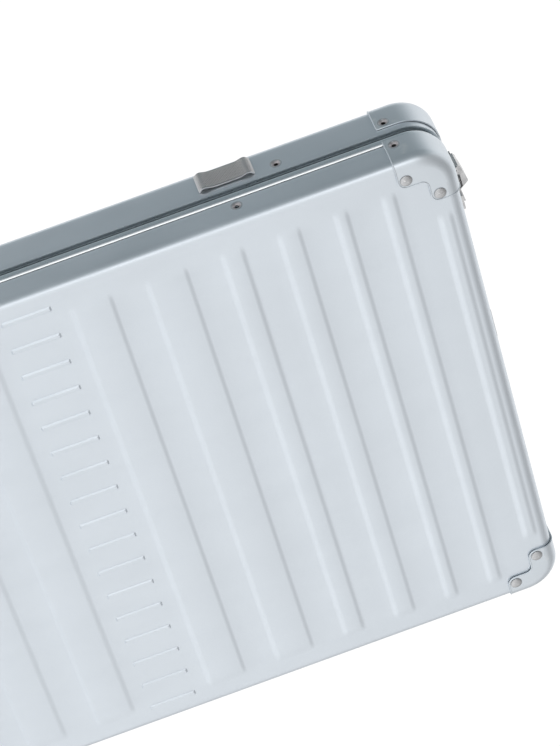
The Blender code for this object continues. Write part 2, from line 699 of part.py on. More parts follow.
def clamp_striker():
    """The lid's strap: a foot, a riser, and a tongue whose window the lever's tooth drops in."""
    low, high = STRIKER_X
    riser_near, riser_far = STRIKER_RISER_Y
    top = TOP + STRIKER_RISE
    foot = block((low, STRIKER_Y[0], TOP + GAP), (high, riser_far, TOP + STRIKER_FOOT_RISE))
    riser = block((low, riser_near, TOP + GAP), (high, riser_far, top))
    tongue = block((low, riser_near, top - STRIKER_SHEET), (high, STRIKER_Y[1], top))
    window = block((WINDOW_X[0], WINDOW_Y[0], TOP), (WINDOW_X[1], WINDOW_Y[1], TOP + BEYOND))
    return cut(joined(foot, riser, tongue), window)


# Wheels and feet


def wheel_housing(x):
    """A moulded box let into the lower back edge, open below and behind for the wheel."""
    low = (x - HOUSING_HALF, HOUSING_Y[0], HOUSING_Z[0])
    body = softened(block(low, (x + HOUSING_HALF, HOUSING_Y[1], HOUSING_Z[1])), 1.5)
    centre = (x, WHEEL_Y, WHEEL_RADIUS)
    well = cylinder(centre, WHEEL_RADIUS + WELL_CLEARANCE, WELL_WIDTH, "X", 32)
    return cut(body, well, cylinder(centre, AXLE_RADIUS + AXLE_CLEARANCE, 3 * BEYOND, "X", 16))


def make_wheels():
    half, shoulder = WHEEL_WIDTH / 2, 2.5
    tread = WHEEL_RADIUS
    seat = HUB_RADIUS + GAP
    tyre = [(seat, half), (tread - shoulder, half), (tread - 0.7, half - 0.8), (tread, half - shoulder)]
    tyre += [(radius, -along) for radius, along in reversed(tyre)]
    bore, web = AXLE_RADIUS + AXLE_CLEARANCE, 4.5
    hub = [(bore, half + 0.5), (4.5, half + 0.5), (5.0, web), (9.5, web), (10.2, half - 0.5)]
    hub += [(HUB_RADIUS, half - 0.5)]
    hub += [(radius, -along) for radius, along in reversed(hub)]
    for side, name in ((-1, "left"), (1, "right")):
        x = side * WHEEL_X
        centre = (x, WHEEL_Y, WHEEL_RADIUS)
        add_part(f"wheel_housing_{name}", wheel_housing(x), "plastic")
        add_part(f"wheel_tyre_{name}", turned(tyre, centre, "X", 28), "rubber", centre)
        add_part(f"wheel_hub_{name}", turned(hub, centre, "X", 20), "plastic", centre)
        axle = cylinder(centre, AXLE_RADIUS, 2 * HOUSING_HALF, "X", 16)
        add_part(f"wheel_axle_{name}", axle, "bright", centre)
        size_x, size_y = FOOT_SIZE
        low, high = (x - size_x / 2, FOOT_Y, 0), (x + size_x / 2, FOOT_Y + size_y, BOTTOM - GAP)
        foot = softened(block(low, high, (3.0, 1.5), 2, -1), 1.2)
        add_part(f"foot_{name}", foot, "plastic")


# Pull handle


def tube(x, size, low, high):
    outside = rounded_rectangle((x, TUBE_Y), size, 2.5, 2)
    hole_size = (size[0] - 2 * TUBE_WALL, size[1] - 2 * TUBE_WALL)
    return extruded([outside, rounded_rectangle((x, TUBE_Y), hole_size, 1.7, 2)], low, high, "Z")


def handle_tray():
    """The moulded tray that the grip sinks into, let into the upper back edge."""
    low, high = TOP + TRAY_Z[0], TOP + TRAY_Z[1]
    body = softened(block((-TRAY_X, TRAY_FRONT, low), (TRAY_X, FACE, high)), 2.5)
    near, far = TRAY_HOLLOW_Y
    hollow = block((-TRAY_HOLLOW_X, near, TOP + TRAY_FLOOR), (TRAY_HOLLOW_X, far, TOP + BEYOND))
    holes = []
    for side in (-1, 1):
        size = (MIDDLE_TUBE[0] + 0.8, MIDDLE_TUBE[1] + 0.8)
        outline = rounded_rectangle((side * TUBE_X, TUBE_Y), size, 2.6, 2)
        holes.append(extruded([outline], low - BEYOND, low + BEYOND / 2, "Z"))
    return cut(body, hollow, gathered(holes))


def grip():
    """The pull handle's bar, with a well for the release button."""
    length, thick, tall = GRIP_SIZE
    top = TOP + GRIP_RISE
    outline = rounded_rectangle((0, TUBE_Y), (length, thick), 4, 3)
    bar = softened(extruded([outline], top - tall, top, "Z"), 2.5)
    half_x = BUTTON_SIZE[0] / 2 + BUTTON_WELL_MARGIN[0]
    half_y = BUTTON_SIZE[1] / 2 + BUTTON_WELL_MARGIN[1]
    low = (-half_x, TUBE_Y - half_y, TOP + BUTTON_WELL_FLOOR)
    return cut(bar, block(low, (half_x, TUBE_Y + half_y, TOP + BEYOND)))


def middle_tube(x):
    """The tube of the first stage, with the collar that keeps it in line with the inner one."""
    body = tube(x, MIDDLE_TUBE, TUBE_FOOT[1], TOP - TUBE_HEAD[1])
    hole = rounded_rectangle((x, TUBE_Y), (INNER_TUBE[0] + 0.6, INNER_TUBE[1] + 0.6), 1.5, 2)
    rim = rounded_rectangle((x, TUBE_Y), COLLAR_SIZE, 2.5, 2)
    return joined(body, extruded([rim, hole], TOP - COLLAR_DROP[0], TOP - COLLAR_DROP[1], "Z"))


def make_pull_handle():
    add_part("handle_tray", handle_tray(), "plastic")
    for side, name in ((-1, "left"), (1, "right")):
        x = side * TUBE_X
        outer = tube(x, OUTER_TUBE, TUBE_FOOT[0], TOP - TUBE_HEAD[0])
        add_part(f"outer_tube_{name}", outer, "frame")
        add_part(f"middle_tube_{name}", middle_tube(x), "frame", (x, TUBE_Y, 0))
        outline = rounded_rectangle((x, TUBE_Y), INNER_TUBE, 1.6, 2)
        inner = extruded([outline], TUBE_FOOT[2], TOP - TUBE_HEAD[2], "Z")
        add_part(f"inner_tube_{name}", inner, "frame", (x, TUBE_Y, 0))
    add_part("pull_grip", grip(), "plastic", (0, TUBE_Y, TOP))
    half_x, half_y = BUTTON_SIZE[0] / 2, BUTTON_SIZE[1] / 2
    low, high = (TOP + along for along in BUTTON_Z)
    button = block((-half_x, TUBE_Y - half_y, low), (half_x, TUBE_Y + half_y, high))
    add_part("release_button", softened(button, 1.0), "plastic", (0, TUBE_Y, TOP))


# Carry handle


def post(x, width, low, high):
    """A square post that stands on the carry handle's line."""
    middle, half = sum(CARRY_Y) / 2, width / 2
    return block((x - half, middle - half, TOP + low), (x + half, middle + half, TOP + high))


def carry_handle():
    """A flat bar on two legs, each with a stop under its sleeve."""
    end = CARRY_LEG_X + CARRY_END
    bar = block((-end, CARRY_Y[0], TOP + CARRY_BAR_Z[0]), (end, CARRY_Y[1], TOP + CARRY_BAR_Z[1]))
    pieces = []
    for side in (-1, 1):
        pieces.append(post(side * CARRY_LEG_X, LEG_WIDTH, LEG_FOOT, CARRY_BAR_Z[0] + 1))
        pieces.append(post(side * CARRY_LEG_X, STOP_WIDTH, *STOP_Z))
    return joined(softened(bar, 1.4), *pieces)


def make_carry_handle():
    middle = sum(CARRY_Y) / 2
    half_x, half_y = MOUNT_PLATE[0] / 2, MOUNT_PLATE[1] / 2
    for side, name in ((-1, "left"), (1, "right")):
        x = side * CARRY_LEG_X
        low = (x - half_x, middle - half_y, TOP + GAP)
        plate = block(low, (x + half_x, middle + half_y, TOP + MOUNT_RISE))
        sleeve = post(x, SLEEVE_WIDTH, *SLEEVE_Z)
        hole = post(x, SLEEVE_HOLE, SLEEVE_Z[0] - BEYOND, MOUNT_RISE + BEYOND)
        add_part(f"carry_mount_{name}", cut(joined(plate, sleeve), hole), "plastic")
    add_part("carry_handle", carry_handle(), "plastic", (0, middle, TOP))


for leftover in list(bpy.data.objects):
    bpy.data.objects.remove(leftover)

case_parts = bpy.data.collections.new("trolley_case")
bpy.context.scene.collection.children.link(case_parts)
case_frame = bpy.data.objects.new("case_frame", None)
case_frame.location = Vector(FRAME_SHIFT) * MM
case_parts.objects.link(case_frame)

make_shells()
make_frames()
make_corner_plates()
make_linings()
make_straps()
make_hinges()
make_latches()
make_clamp()
make_wheels()
make_pull_handle()
make_carry_handle()
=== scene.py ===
"""The looks of the slim aluminium trolley case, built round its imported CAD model.

Lengths are in millimetres in the case's own frame, as in part.py: X = 0 and Y = 0 are the middle of the case,
Z = 0 is the floor, the lid's face is towards -Y and the opening side is at -X. place() carries a point of
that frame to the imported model's.
"""

import math
import random

import bmesh
import bpy
import numpy as np
from mathutils import Matrix, Vector
from mathutils.geometry import tessellate_polygon


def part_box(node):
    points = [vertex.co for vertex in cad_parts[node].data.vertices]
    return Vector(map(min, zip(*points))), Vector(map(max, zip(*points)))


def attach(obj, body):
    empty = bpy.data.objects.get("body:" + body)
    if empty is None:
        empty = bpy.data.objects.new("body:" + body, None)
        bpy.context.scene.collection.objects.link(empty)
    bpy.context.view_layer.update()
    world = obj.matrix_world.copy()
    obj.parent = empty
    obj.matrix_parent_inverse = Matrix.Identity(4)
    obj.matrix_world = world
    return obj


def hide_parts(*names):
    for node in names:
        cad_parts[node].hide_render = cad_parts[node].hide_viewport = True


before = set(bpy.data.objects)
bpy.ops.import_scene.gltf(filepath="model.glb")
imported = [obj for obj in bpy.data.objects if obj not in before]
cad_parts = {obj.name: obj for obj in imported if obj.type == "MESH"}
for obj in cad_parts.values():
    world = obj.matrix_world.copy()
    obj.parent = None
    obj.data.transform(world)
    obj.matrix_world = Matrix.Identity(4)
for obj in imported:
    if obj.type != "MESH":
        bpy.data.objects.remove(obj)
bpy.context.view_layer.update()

MM = 0.001

# The case
SIDE, FACE, HEIGHT, BOTTOM = 253.0, 39.5, 711.0, 12.0
TOP = BOTTOM + HEIGHT
MIDDLE = BOTTOM + HEIGHT / 2
CORNER_RADIUS, EDGE_RADIUS = 30.0, 9.5
SHEET, GAP = 1.5, 0.3
LID_SHELL_RIM, CASE_SHELL_RIM = -11.4, 2.9

# Stampings
CAD_RIB_RISE = 1.3
RIB_START, RIB_GAP = 35.7, 29.8
RIB_WIDTHS = (32.8, 32.8, 17.2, 17.2, 10.0, 10.0, 10.0)
RIB_RISE, RIB_FADE = 0.75, 11.0
INNER_FLANK, OUTER_FLANK = (-3.6, 2.6), (-3.8, 1.0)  # across a rib's edge, away from the middle row
RIB_END, OUTER_RIB_END = 22.0, 60.0
DASH_COUNT, DASH_PITCH, DASH_FIRST = 17, 29.0, 18.3
DASH_LENGTH, DASH_WIDTH, DASH_RISE = 41.5, 5.2, 1.25
DASH_SHOULDER = 1.3
DASH_STOPS = (0, 0.4, 0.5, 0.6, 0.7, 0.8, 0.9, 1.0, 1.08)

# Corner plates and rivets
PLATE_REACH, PLATE_LOBE, PLATE_SKIN = 46.4, 23.4, 1.2
PLATE_OUTER_TURN, PLATE_INNER_TURN = 6.5, 6.0
PLATE_LIFT = GAP + PLATE_SKIN
LID_PLATE_RIM, CASE_PLATE_RIM = -7.8, 8.9
RIVET_NEAR, RIVET_FAR, RIVET_RADIUS, RIVET_RISE = 16.5, 40.0, 5.1, 1.5
POP_RADIUS, POP_WELL = 4.9, 3.4
POP_FROM_END = 39.0
LID_POP_Y, CASE_POP_Y = -15.3, 15.1

# Latches, hinges, wheels
LATCH_FROM_END = 171.4
LATCH_HEIGHTS = (BOTTOM + LATCH_FROM_END, TOP - LATCH_FROM_END)
LATCH_Y, KNURL_PITCH, KNURL_RISE = (9.6, 29.9), 2.2, 0.85
LATCH_HALF, LATCH_RISE, LATCH_SHEET = 23.4, 4.3, 1.0
KEEPER_POP_Y = -19.4
LATCH_POP_Y, LATCH_POP_OFF = 13.5, 41.4
HINGE_HEIGHTS = (MIDDLE - 210.0, MIDDLE + 210.0)
HINGE_Y, HINGE_SCREW_OFF = 1.05, 14.5
WHEEL_X, WHEEL_Y, WHEEL_RADIUS, WHEEL_WIDTH = 175.0, 28.5, 17.0, 17.0
TRAY_X, TRAY_FRONT, TRAY_DROP = 108.0, 20.5, 28.0
CARRY_X, CARRY_Y, SLEEVE_HALF = 84.0, 13.5, 5.5

shell_low, shell_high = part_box("front_shell")
ORIGIN = Vector(((shell_low.x + shell_high.x) / 2, shell_low.y + (FACE + CAD_RIB_RISE) * MM, 0))


def place(x, y, z):
    """A point of the case's frame, in millimetres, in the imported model's frame."""
    return ORIGIN + Vector((x, y, z)) * MM


# Materials


class Nodes:
    """A material's node tree, with short ways to add to it."""

    def __init__(self, name):
        self.material = bpy.data.materials.new(name)
        self.material.use_nodes = True
        self.tree = self.material.node_tree
        self.shader = self.tree.nodes["Principled BSDF"]
        self.coordinates = self.add("ShaderNodeTexCoord").outputs["Object"]

    def add(self, kind, **settings):
        node = self.tree.nodes.new(kind)
        for name, value in settings.items():
            setattr(node, name, value)
        return node

    def link(self, source, target):
        self.tree.links.new(source, target)

    def scaled(self, scale):
        """The object's coordinates stretched by (x, y, z)."""
        mapping = self.add("ShaderNodeMapping")
        mapping.inputs["Scale"].default_value = scale
        self.link(self.coordinates, mapping.inputs["Vector"])
        return mapping.outputs["Vector"]

    def noise(self, scale, detail=3.0, stretch=(1, 1, 1), roughness=0.55):
        node = self.add("ShaderNodeTexNoise")
        node.inputs["Scale"].default_value = scale
        node.inputs["Detail"].default_value = detail
        node.inputs["Roughness"].default_value = roughness
        self.link(self.scaled(stretch), node.inputs["Vector"])
        return node.outputs["Fac"]

    def cells(self, scale, feature="F1"):
        node = self.add("ShaderNodeTexVoronoi", feature=feature)
        node.inputs["Scale"].default_value = scale
        self.link(self.coordinates, node.inputs["Vector"])
        return node.outputs["Distance"]

    def bands(self, scale, direction, profile="SIN", distortion=0.0):
        node = self.add("ShaderNodeTexWave", bands_direction=direction, wave_profile=profile)
        node.inputs["Scale"].default_value = scale
        node.inputs["Distortion"].default_value = distortion
        self.link(self.coordinates, node.inputs["Vector"])
        return node.outputs["Fac"]

    def math(self, operation, first, second):
        node = self.add("ShaderNodeMath", operation=operation)
        for socket, value in zip(node.inputs, (first, second)):
            if isinstance(value, (int, float)):
                socket.default_value = value
            else:
                self.link(value, socket)
        return node.outputs["Value"]

    def spread(self, value, low, high, start=0.3, end=0.7):
        """The value carried from start..end to low..high."""
        node = self.add("ShaderNodeMapRange")
        for name, number in (("From Min", start), ("From Max", end), ("To Min", low), ("To Max", high)):
            node.inputs[name].default_value = number
        self.link(value, node.inputs["Value"])
        return node.outputs["Result"]

    def blend(self, factor, low, high):
        """A colour between two, by the factor."""
        node = self.add("ShaderNodeMix", data_type="RGBA")
        for index, colour in ((6, low), (7, high)):
            if isinstance(colour, tuple):
                node.inputs[index].default_value = (*colour, 1)
            else:
                self.link(colour, node.inputs[index])
        self.link(factor, node.inputs[0])
        return node.outputs[2]

    def mottled(self, value, low, high):
        return self.blend(self.spread(value, 0, 1), low, high)

    def colour(self, value):
        self.link(value, self.shader.inputs["Base Color"])

    def rough(self, value):
        self.link(value, self.shader.inputs["Roughness"])

    def bumps(self, *layers):
        """Bump layers, each a (height, strength, distance in millimetres)."""
        previous = None
        for height, strength, distance in layers:
            node = self.add("ShaderNodeBump")
            node.inputs["Strength"].default_value = strength
            node.inputs["Distance"].default_value = distance * MM
            self.link(height, node.inputs["Height"])
            if previous is not None:
                self.link(previous, node.inputs["Normal"])
            previous = node.outputs["Normal"]
        self.link(previous, self.shader.inputs["Normal"])

    def set(self, **values):
        for name, value in values.items():
            self.shader.inputs[name.replace("_", " ")].default_value = value
        return self.material


def shaded(tint, factor, lift=0.0):
    """The tint made darker or lighter."""
    return tuple(channel * factor + lift for channel in tint)


def edge_wear(nodes, amount):
    """Where the surface is sharply convex, from 0 to the amount."""
    geometry = nodes.add("ShaderNodeNewGeometry")
    patchy = nodes.spread(nodes.noise(140, 4), 0.0, 1.0, 0.42, 0.62)
    convex = nodes.spread(geometry.outputs["Pointiness"], 0.0, amount, 0.53, 0.62)
    return nodes.math("MULTIPLY", convex, patchy)


def concave_shade(nodes, amount):
    """Where the surface is sharply concave, from 0 to the amount, for painting shade into hollows."""
    geometry = nodes.add("ShaderNodeNewGeometry")
    return nodes.spread(geometry.outputs["Pointiness"], amount, 0.0, 0.455, 0.51)


def crevice_shade(nodes, depth, low=0.0, high=1.0):
    """A share from low in the open to high in crevices of this depth in millimetres, for painting shade into
    the colour there.
    """
    occlusion = nodes.add("ShaderNodeAmbientOcclusion", samples=6)
    occlusion.inputs["Distance"].default_value = depth * MM
    return nodes.spread(occlusion.outputs["AO"], high, low, 0.15, 0.85)


def anodised_sheet(name, tint=(0.715, 0.765, 0.815), shine=0.40):
    """Satin anodised sheet: a fine matt grain, faint cloudy patches, a few rubbed places, and painted shade
    in its crevices.
    """
    nodes = Nodes(name)
    cloud = nodes.noise(9, 4)
    grain = nodes.noise(2600, 2)
    dark = shaded(tint, 0.972)
    light = tuple(min(1.0, channel * 1.02) for channel in tint)
    base = nodes.mottled(cloud, dark, light)
    worn_and_shaded = nodes.blend(edge_wear(nodes, 0.5), base, (0.90, 0.91, 0.92))
    # Painted shade: the colour darkens towards blue-black in crevices.
    nodes.colour(nodes.blend(crevice_shade(nodes, 1.2, 0, 0.75), worn_and_shaded, (0.10, 0.115, 0.13)))
    rubbed = nodes.spread(nodes.noise(60, 5, (1, 1, 0.25)), -0.025, 0.03)
    nodes.rough(nodes.math("ADD", nodes.spread(cloud, shine - 0.02, shine + 0.03), rubbed))
    nodes.bumps((grain, 0.10, 0.02), (nodes.noise(5.5, 1), 0.30, 0.35))
    return nodes.set(Metallic=0.86, Specular_IOR_Level=0.5)


def drawn_aluminium(name, tint=(0.60, 0.66, 0.70), shine=0.30, crevice_shade_amount=0.7):
    """An anodised extrusion, with faint die lines along it, and painted shade in its crevices."""
    nodes = Nodes(name)
    lines = nodes.noise(900, 2, (1, 3.0, 1))
    cloud = nodes.noise(14, 3)
    drawn = nodes.mottled(cloud, shaded(tint, 0.94), tint)
    # Painted shade: the colour darkens towards near black in crevices, by the given amount.
    nodes.colour(nodes.blend(crevice_shade(nodes, 0.9, 0, crevice_shade_amount), drawn, (0.05, 0.065, 0.075)))
    nodes.rough(nodes.spread(lines, shine - 0.04, shine + 0.07))
    nodes.bumps((lines, 0.10, 0.03))
    return nodes.set(Metallic=0.9)


def brushed_steel(name, tint=(0.60, 0.60, 0.605), shine=0.27, along=(1, 1, 0.04)):
    """Brushed steel with its grain along one axis, darker smears where it is handled, and painted shade in
    its crevices.
    """
    nodes = Nodes(name)
    grain = nodes.noise(1900, 3, along)
    smear = nodes.noise(45, 4)
    streaks = nodes.mottled(grain, shaded(tint, 0.80), tint)
    worn_and_shaded = nodes.blend(edge_wear(nodes, 0.6), streaks, (0.82, 0.82, 0.82))
    # Painted shade: the colour darkens towards near black in crevices.
    nodes.colour(nodes.blend(crevice_shade(nodes, 1.4, 0, 0.9), worn_and_shaded, (0.045, 0.045, 0.05)))
    brushed = nodes.spread(grain, shine - 0.05, shine + 0.08)
    nodes.rough(nodes.math("ADD", brushed, nodes.spread(smear, -0.03, 0.05)))
    nodes.bumps((grain, 0.18, 0.03))
    return nodes.set(Metallic=1.0)


def cast_grey(name, tint=(0.335, 0.34, 0.35), shine=0.42):
    """The latches' dull grey plating, lighter on its raised points, with painted shade in its hollows and
    crevices.
    """
    nodes = Nodes(name)
    mottle = nodes.noise(700, 4)
    plated = nodes.mottled(mottle, shaded(tint, 0.70), tint)
    worn_and_shaded = nodes.blend(edge_wear(nodes, 0.85), plated, (0.80, 0.80, 0.80))
    # Painted shade: the colour darkens towards near black in concave places and in crevices.
    worn_and_shaded = nodes.blend(concave_shade(nodes, 0.75), worn_and_shaded, (0.10, 0.10, 0.10))
    nodes.colour(nodes.blend(crevice_shade(nodes, 0.7, 0, 0.75), worn_and_shaded, (0.05, 0.05, 0.05)))
    nodes.rough(nodes.spread(mottle, shine - 0.06, shine + 0.10))
    nodes.bumps((nodes.noise(1500, 3), 0.25, 0.05))
    return nodes.set(Metallic=0.92)


def moulded_plastic(name, tint=(0.035, 0.037, 0.040), shine=0.48):
    """Moulded plastic with a fine spark-eroded grain, and scuffs on its edges."""
    nodes = Nodes(name)
    grain = nodes.cells(1500)
    patch = nodes.noise(30, 3)
    base = nodes.mottled(patch, tint, shaded(tint, 1.35, 0.004))
    nodes.colour(nodes.blend(edge_wear(nodes, 0.35), base, shaded(tint, 2.0, 0.05)))
    nodes.rough(nodes.spread(patch, shine - 0.04, shine + 0.07))
    nodes.bumps((grain, 0.35, 0.05))
    return nodes.set(Metallic=0.0)


def tyre_rubber(name):
    """Solid tyre rubber, dusty and dull where it rolls."""
    nodes = Nodes(name)
    dust = nodes.noise(120, 5)
    dusty = nodes.spread(dust, 0, 1, 0.35, 0.75)
    nodes.colour(nodes.blend(dusty, (0.016, 0.016, 0.017), (0.060, 0.058, 0.055)))
    nodes.rough(nodes.spread(dust, 0.66, 0.85))
    nodes.bumps((nodes.noise(1100, 4), 0.35, 0.06))
    return nodes.set(Metallic=0.0)


def seal_rubber(name):
    """The soft seal in the groove: dark rubber, its grey-blue partly painted shade, the frame's tint as seen
    in the groove's shadow.
    """
    nodes = Nodes(name)
    patch = nodes.noise(60, 3)
    # Partly painted shade: the grey-blue is the frame's tint in the groove's shadow, on dark rubber.
    nodes.colour(nodes.mottled(patch, (0.040, 0.062, 0.075), (0.062, 0.090, 0.105)))
    nodes.rough(nodes.spread(patch, 0.50, 0.62))
    nodes.bumps((nodes.noise(900, 2), 0.15, 0.05))
    return nodes.set(Metallic=0.0)


def woven(name, tint, pitch=0.62, sheen=0.35, depth=0.10):
    """Plain woven cloth: two crossed sets of threads, with slubs and a soft sheen."""
    nodes = Nodes(name)
    turns = 1.0 / (pitch * MM) / 20.0
    across = nodes.bands(turns, "X", distortion=0.25)
    up = nodes.bands(turns, "Z", distortion=0.25)
    through = nodes.bands(turns, "Y", distortion=0.25)
    threads = nodes.math("MAXIMUM", nodes.math("MULTIPLY", across, through), up)
    slub = nodes.noise(420, 3, (1, 1, 0.2))
    shade = nodes.math("MULTIPLY", threads, nodes.spread(slub, 0.7, 1.0))
    nodes.colour(nodes.blend(shade, shaded(tint, 0.55), tint))
    nodes.rough(nodes.spread(slub, 0.78, 0.93))
    nodes.bumps((threads, 0.55, depth), (nodes.noise(26, 3), 0.25, 0.6))
    return nodes.set(Metallic=0.0, Sheen_Weight=sheen, Sheen_Roughness=0.45)


def webbing(name, tint=(0.020, 0.021, 0.023)):
    """Ribbed polypropylene webbing: strong ribs across its length."""
    nodes = Nodes(name)
    ribs = nodes.bands(1 / (1.3 * MM) / 20, "X")
    warp = nodes.bands(1 / (0.9 * MM) / 20, "Z")
    weave = nodes.math("MULTIPLY", ribs, nodes.spread(warp, 0.6, 1.0, 0, 1))
    nodes.colour(nodes.blend(weave, tint, shaded(tint, 2.4, 0.004)))
    nodes.rough(nodes.spread(nodes.noise(300, 2), 0.60, 0.76))
    nodes.bumps((weave, 0.6, 0.18))
    return nodes.set(Metallic=0.0, Sheen_Weight=0.2)


def thread(name, tint):
    """Sewing thread, twisted."""
    nodes = Nodes(name)
    twist = nodes.bands(1 / (0.5 * MM) / 20, "DIAGONAL")
    nodes.colour(nodes.blend(twist, shaded(tint, 0.6), tint))
    nodes.rough(nodes.spread(nodes.noise(500, 2), 0.55, 0.7))
    nodes.bumps((twist, 0.4, 0.05))
    return nodes.set(Metallic=0.0)


PAINT = {
    "sheet": anodised_sheet("anodised_sheet"),
    "plate": anodised_sheet("anodised_plate", (0.690, 0.740, 0.785), 0.38),
    "frame": drawn_aluminium("anodised_frame"),
    # A lighter copy of the frame's aluminium, with no crevice shade: painted highlight on the frame's lip.
    "lip": drawn_aluminium("rolled_lip", (0.78, 0.80, 0.815), 0.30, 0.0),
    "tube": drawn_aluminium("anodised_tube", (0.60, 0.615, 0.63), 0.26),
    "steel": brushed_steel("brushed_steel"),
    "rivet": brushed_steel("rivet_steel", (0.56, 0.565, 0.575), 0.26, (1, 1, 0.15)),
    "pop": brushed_steel("pop_rivet", (0.58, 0.60, 0.625), 0.36, (1, 1, 1)),
    "cone": brushed_steel("rivet_cone", (0.50, 0.475, 0.485), 0.42, (1, 1, 1)),
    # Near-black paint for the closed well in each pop rivet's bore: painted shade.
    "bore_shade": moulded_plastic("rivet_bore_shade", (0.012, 0.011, 0.011), 0.7),
    "latch": cast_grey("latch_plating", (0.64, 0.64, 0.645), 0.36),
    "plastic": moulded_plastic("grained_plastic"),
    "hub": moulded_plastic("hub_plastic", (0.115, 0.12, 0.125), 0.42),
    "grip": moulded_plastic("soft_touch", (0.026, 0.027, 0.029), 0.58),
    "button": moulded_plastic("button_plastic", (0.16, 0.165, 0.17), 0.32),
    "rubber": tyre_rubber("tyre_rubber"),
    "seal": seal_rubber("seal_rubber"),
    "lining": woven("lining_cloth", (0.110, 0.128, 0.160)),
    "pocket": woven("pocket_cloth", (0.085, 0.100, 0.128), 0.9, 0.25, 0.16),
    "piping": woven("piping_cloth", (0.060, 0.070, 0.090), 0.5),
    "webbing": webbing("strap_webbing"),
    "thread": thread("grey_thread", (0.30, 0.33, 0.38)),
}


# Meshes

BOX_FACES = [(0, 1, 3, 2), (4, 6, 7, 5), (0, 4, 5, 1), (2, 3, 7, 6), (0, 2, 6, 4), (1, 5, 7, 3)]
QUARTERS = ((1, 1), (-1, 1), (-1, -1), (1, -1))


def linked(name, data):
    """A new object in the scene."""
    made = bpy.data.objects.new(name, data)
    bpy.context.scene.collection.objects.link(made)
    return made


def reshaped(mesh, *edits):
    """The mesh after these edits of its bmesh."""
    shape = bmesh.new()
    shape.from_mesh(mesh)
    for edit in edits:
        edit(shape)
    shape.to_mesh(mesh)
    shape.free()
    return mesh


def facing_out(shape):
    bmesh.ops.recalc_face_normals(shape, faces=shape.faces)


def turned_over(shape):
    bmesh.ops.reverse_faces(shape, faces=shape.faces)


def welded(shape):
    bmesh.ops.remove_doubles(shape, verts=shape.verts, dist=1e-6)


def grid_faces(columns, rows):
    """The quads of a grid whose points are listed column by column."""
    corners = [i * rows + j for i in range(columns - 1) for j in range(rows - 1)]
    return [(a, a + rows, a + rows + 1, a + 1) for a in corners]


def ring_faces(one, two):
    """The quads between two closed rings of points."""
    turn = [(index, (index + 1) % len(one)) for index in range(len(one))]
    return [(one[index], one[after], two[after], two[index]) for index, after in turn]


def quarter_turn(steps=6):
    return [math.pi / 2 * step / steps for step in range(steps + 1)]


def corner_arcs(half_x, half_z, middle_z, corner, steps):
    """A rounded rectangle as (centre x, centre z, normal x, normal z), each centre a corner arc's."""
    loop = []
    for index, (sx, sz) in enumerate(QUARTERS):
        cx, cz = sx * (half_x - corner), middle_z + sz * (half_z - corner)
        for step in range(steps + 1):
            angle = math.pi / 2 * (index + step / steps)
            loop.append((cx, cz, math.cos(angle), math.sin(angle)))
    return loop


def rounded_loop(half_x, half_z, middle_z, corner, steps=8):
    """A rounded rectangle as points of (x, z)."""
    arcs = corner_arcs(half_x, half_z, middle_z, corner, steps)
    return [(cx + nx * corner, cz + nz * corner) for cx, cz, nx, nz in arcs]


def backward(faces):
    return [(a, d, c, b) for a, b, c, d in faces]


def mirrored(profile):
    """A turned profile of (radius, along), closed by its own reflection."""
    return profile + [(radius, -along) for radius, along in reversed(profile)]


def finished(name, mesh, paint, body, angle=38):
    """A piece from this mesh, smooth but for its sharp edges, riding on a body."""
    mesh.materials.clear()
    mesh.materials.append(PAINT[paint])
    mesh.shade_smooth()
    mesh.set_sharp_from_angle(angle=math.radians(angle))
    piece = linked(name, mesh)
    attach(piece, body)
    return piece


def mesh_of(name, points, faces):
    """A mesh through points of the case's frame, its normals facing out."""
    mesh = bpy.data.meshes.new(name)
    mesh.from_pydata([place(*point) for point in points], [], faces)
    return reshaped(mesh, facing_out)


def bevelled(piece, width, segments=2, angle=40):
    bevel = piece.modifiers.new("edges", "BEVEL")
    bevel.width = width * MM
    bevel.segments = segments
    bevel.limit_method = "ANGLE"
    bevel.angle_limit = math.radians(angle)
    bevel.harden_normals = False
    return piece


def thickened(piece, thickness, angle=35):
    """Give an open surface its thickness, with crisp edges where the cut sheet shows."""
    solidify = piece.modifiers.new("sheet", "SOLIDIFY")
    solidify.thickness = thickness * MM
    solidify.offset = -1
    solidify.use_even_offset = True
    graph = bpy.context.evaluated_depsgraph_get()
    solid = bpy.data.meshes.new_from_object(piece.evaluated_get(graph), depsgraph=graph)
    piece.modifiers.remove(solidify)
    thin = piece.data
    piece.data = solid
    bpy.data.meshes.remove(thin)
    solid.shade_smooth()
    solid.set_sharp_from_angle(angle=math.radians(angle))
    return piece


AXES = {
    "X": (Vector((1, 0, 0)), Vector((0, 1, 0)), Vector((0, 0, 1))),
    "Y": (Vector((0, 1, 0)), Vector((0, 0, 1)), Vector((1, 0, 0))),
    "Z": (Vector((0, 0, 1)), Vector((1, 0, 0)), Vector((0, 1, 0))),
}


def turned(name, profile, centre, axis, paint, body, steps=32, towards=1, closed=False):
    """A profile of (radius, along) turned about an axis through the centre. Radius 0 closes an end."""
    along_axis, first, second = AXES[axis]
    points, rings = [], []
    for radius, along in profile:
        base = Vector(centre) + along_axis * along * towards
        if radius <= 1e-6:
            rings.append([len(points)])
            points.append(tuple(base))
            continue
        rings.append(list(range(len(points), len(points) + steps)))
        for step in range(steps):
            angle = 2 * math.pi * step / steps
            points.append(tuple(base + (first * math.cos(angle) + second * math.sin(angle)) * radius))
    faces = []
    pairs = list(zip(rings, rings[1:]))
    if closed:
        pairs.append((rings[-1], rings[0]))
    for one, two in pairs:
        for step in range(steps):
            after = (step + 1) % steps
            if len(one) == 1:
                faces.append((one[0], two[step], two[after]))
            elif len(two) == 1:
                faces.append((one[step], two[0], one[after]))
            else:
                faces.append((one[step], two[step], two[after], one[after]))
    return finished(name, mesh_of(name, points, faces), paint, body)


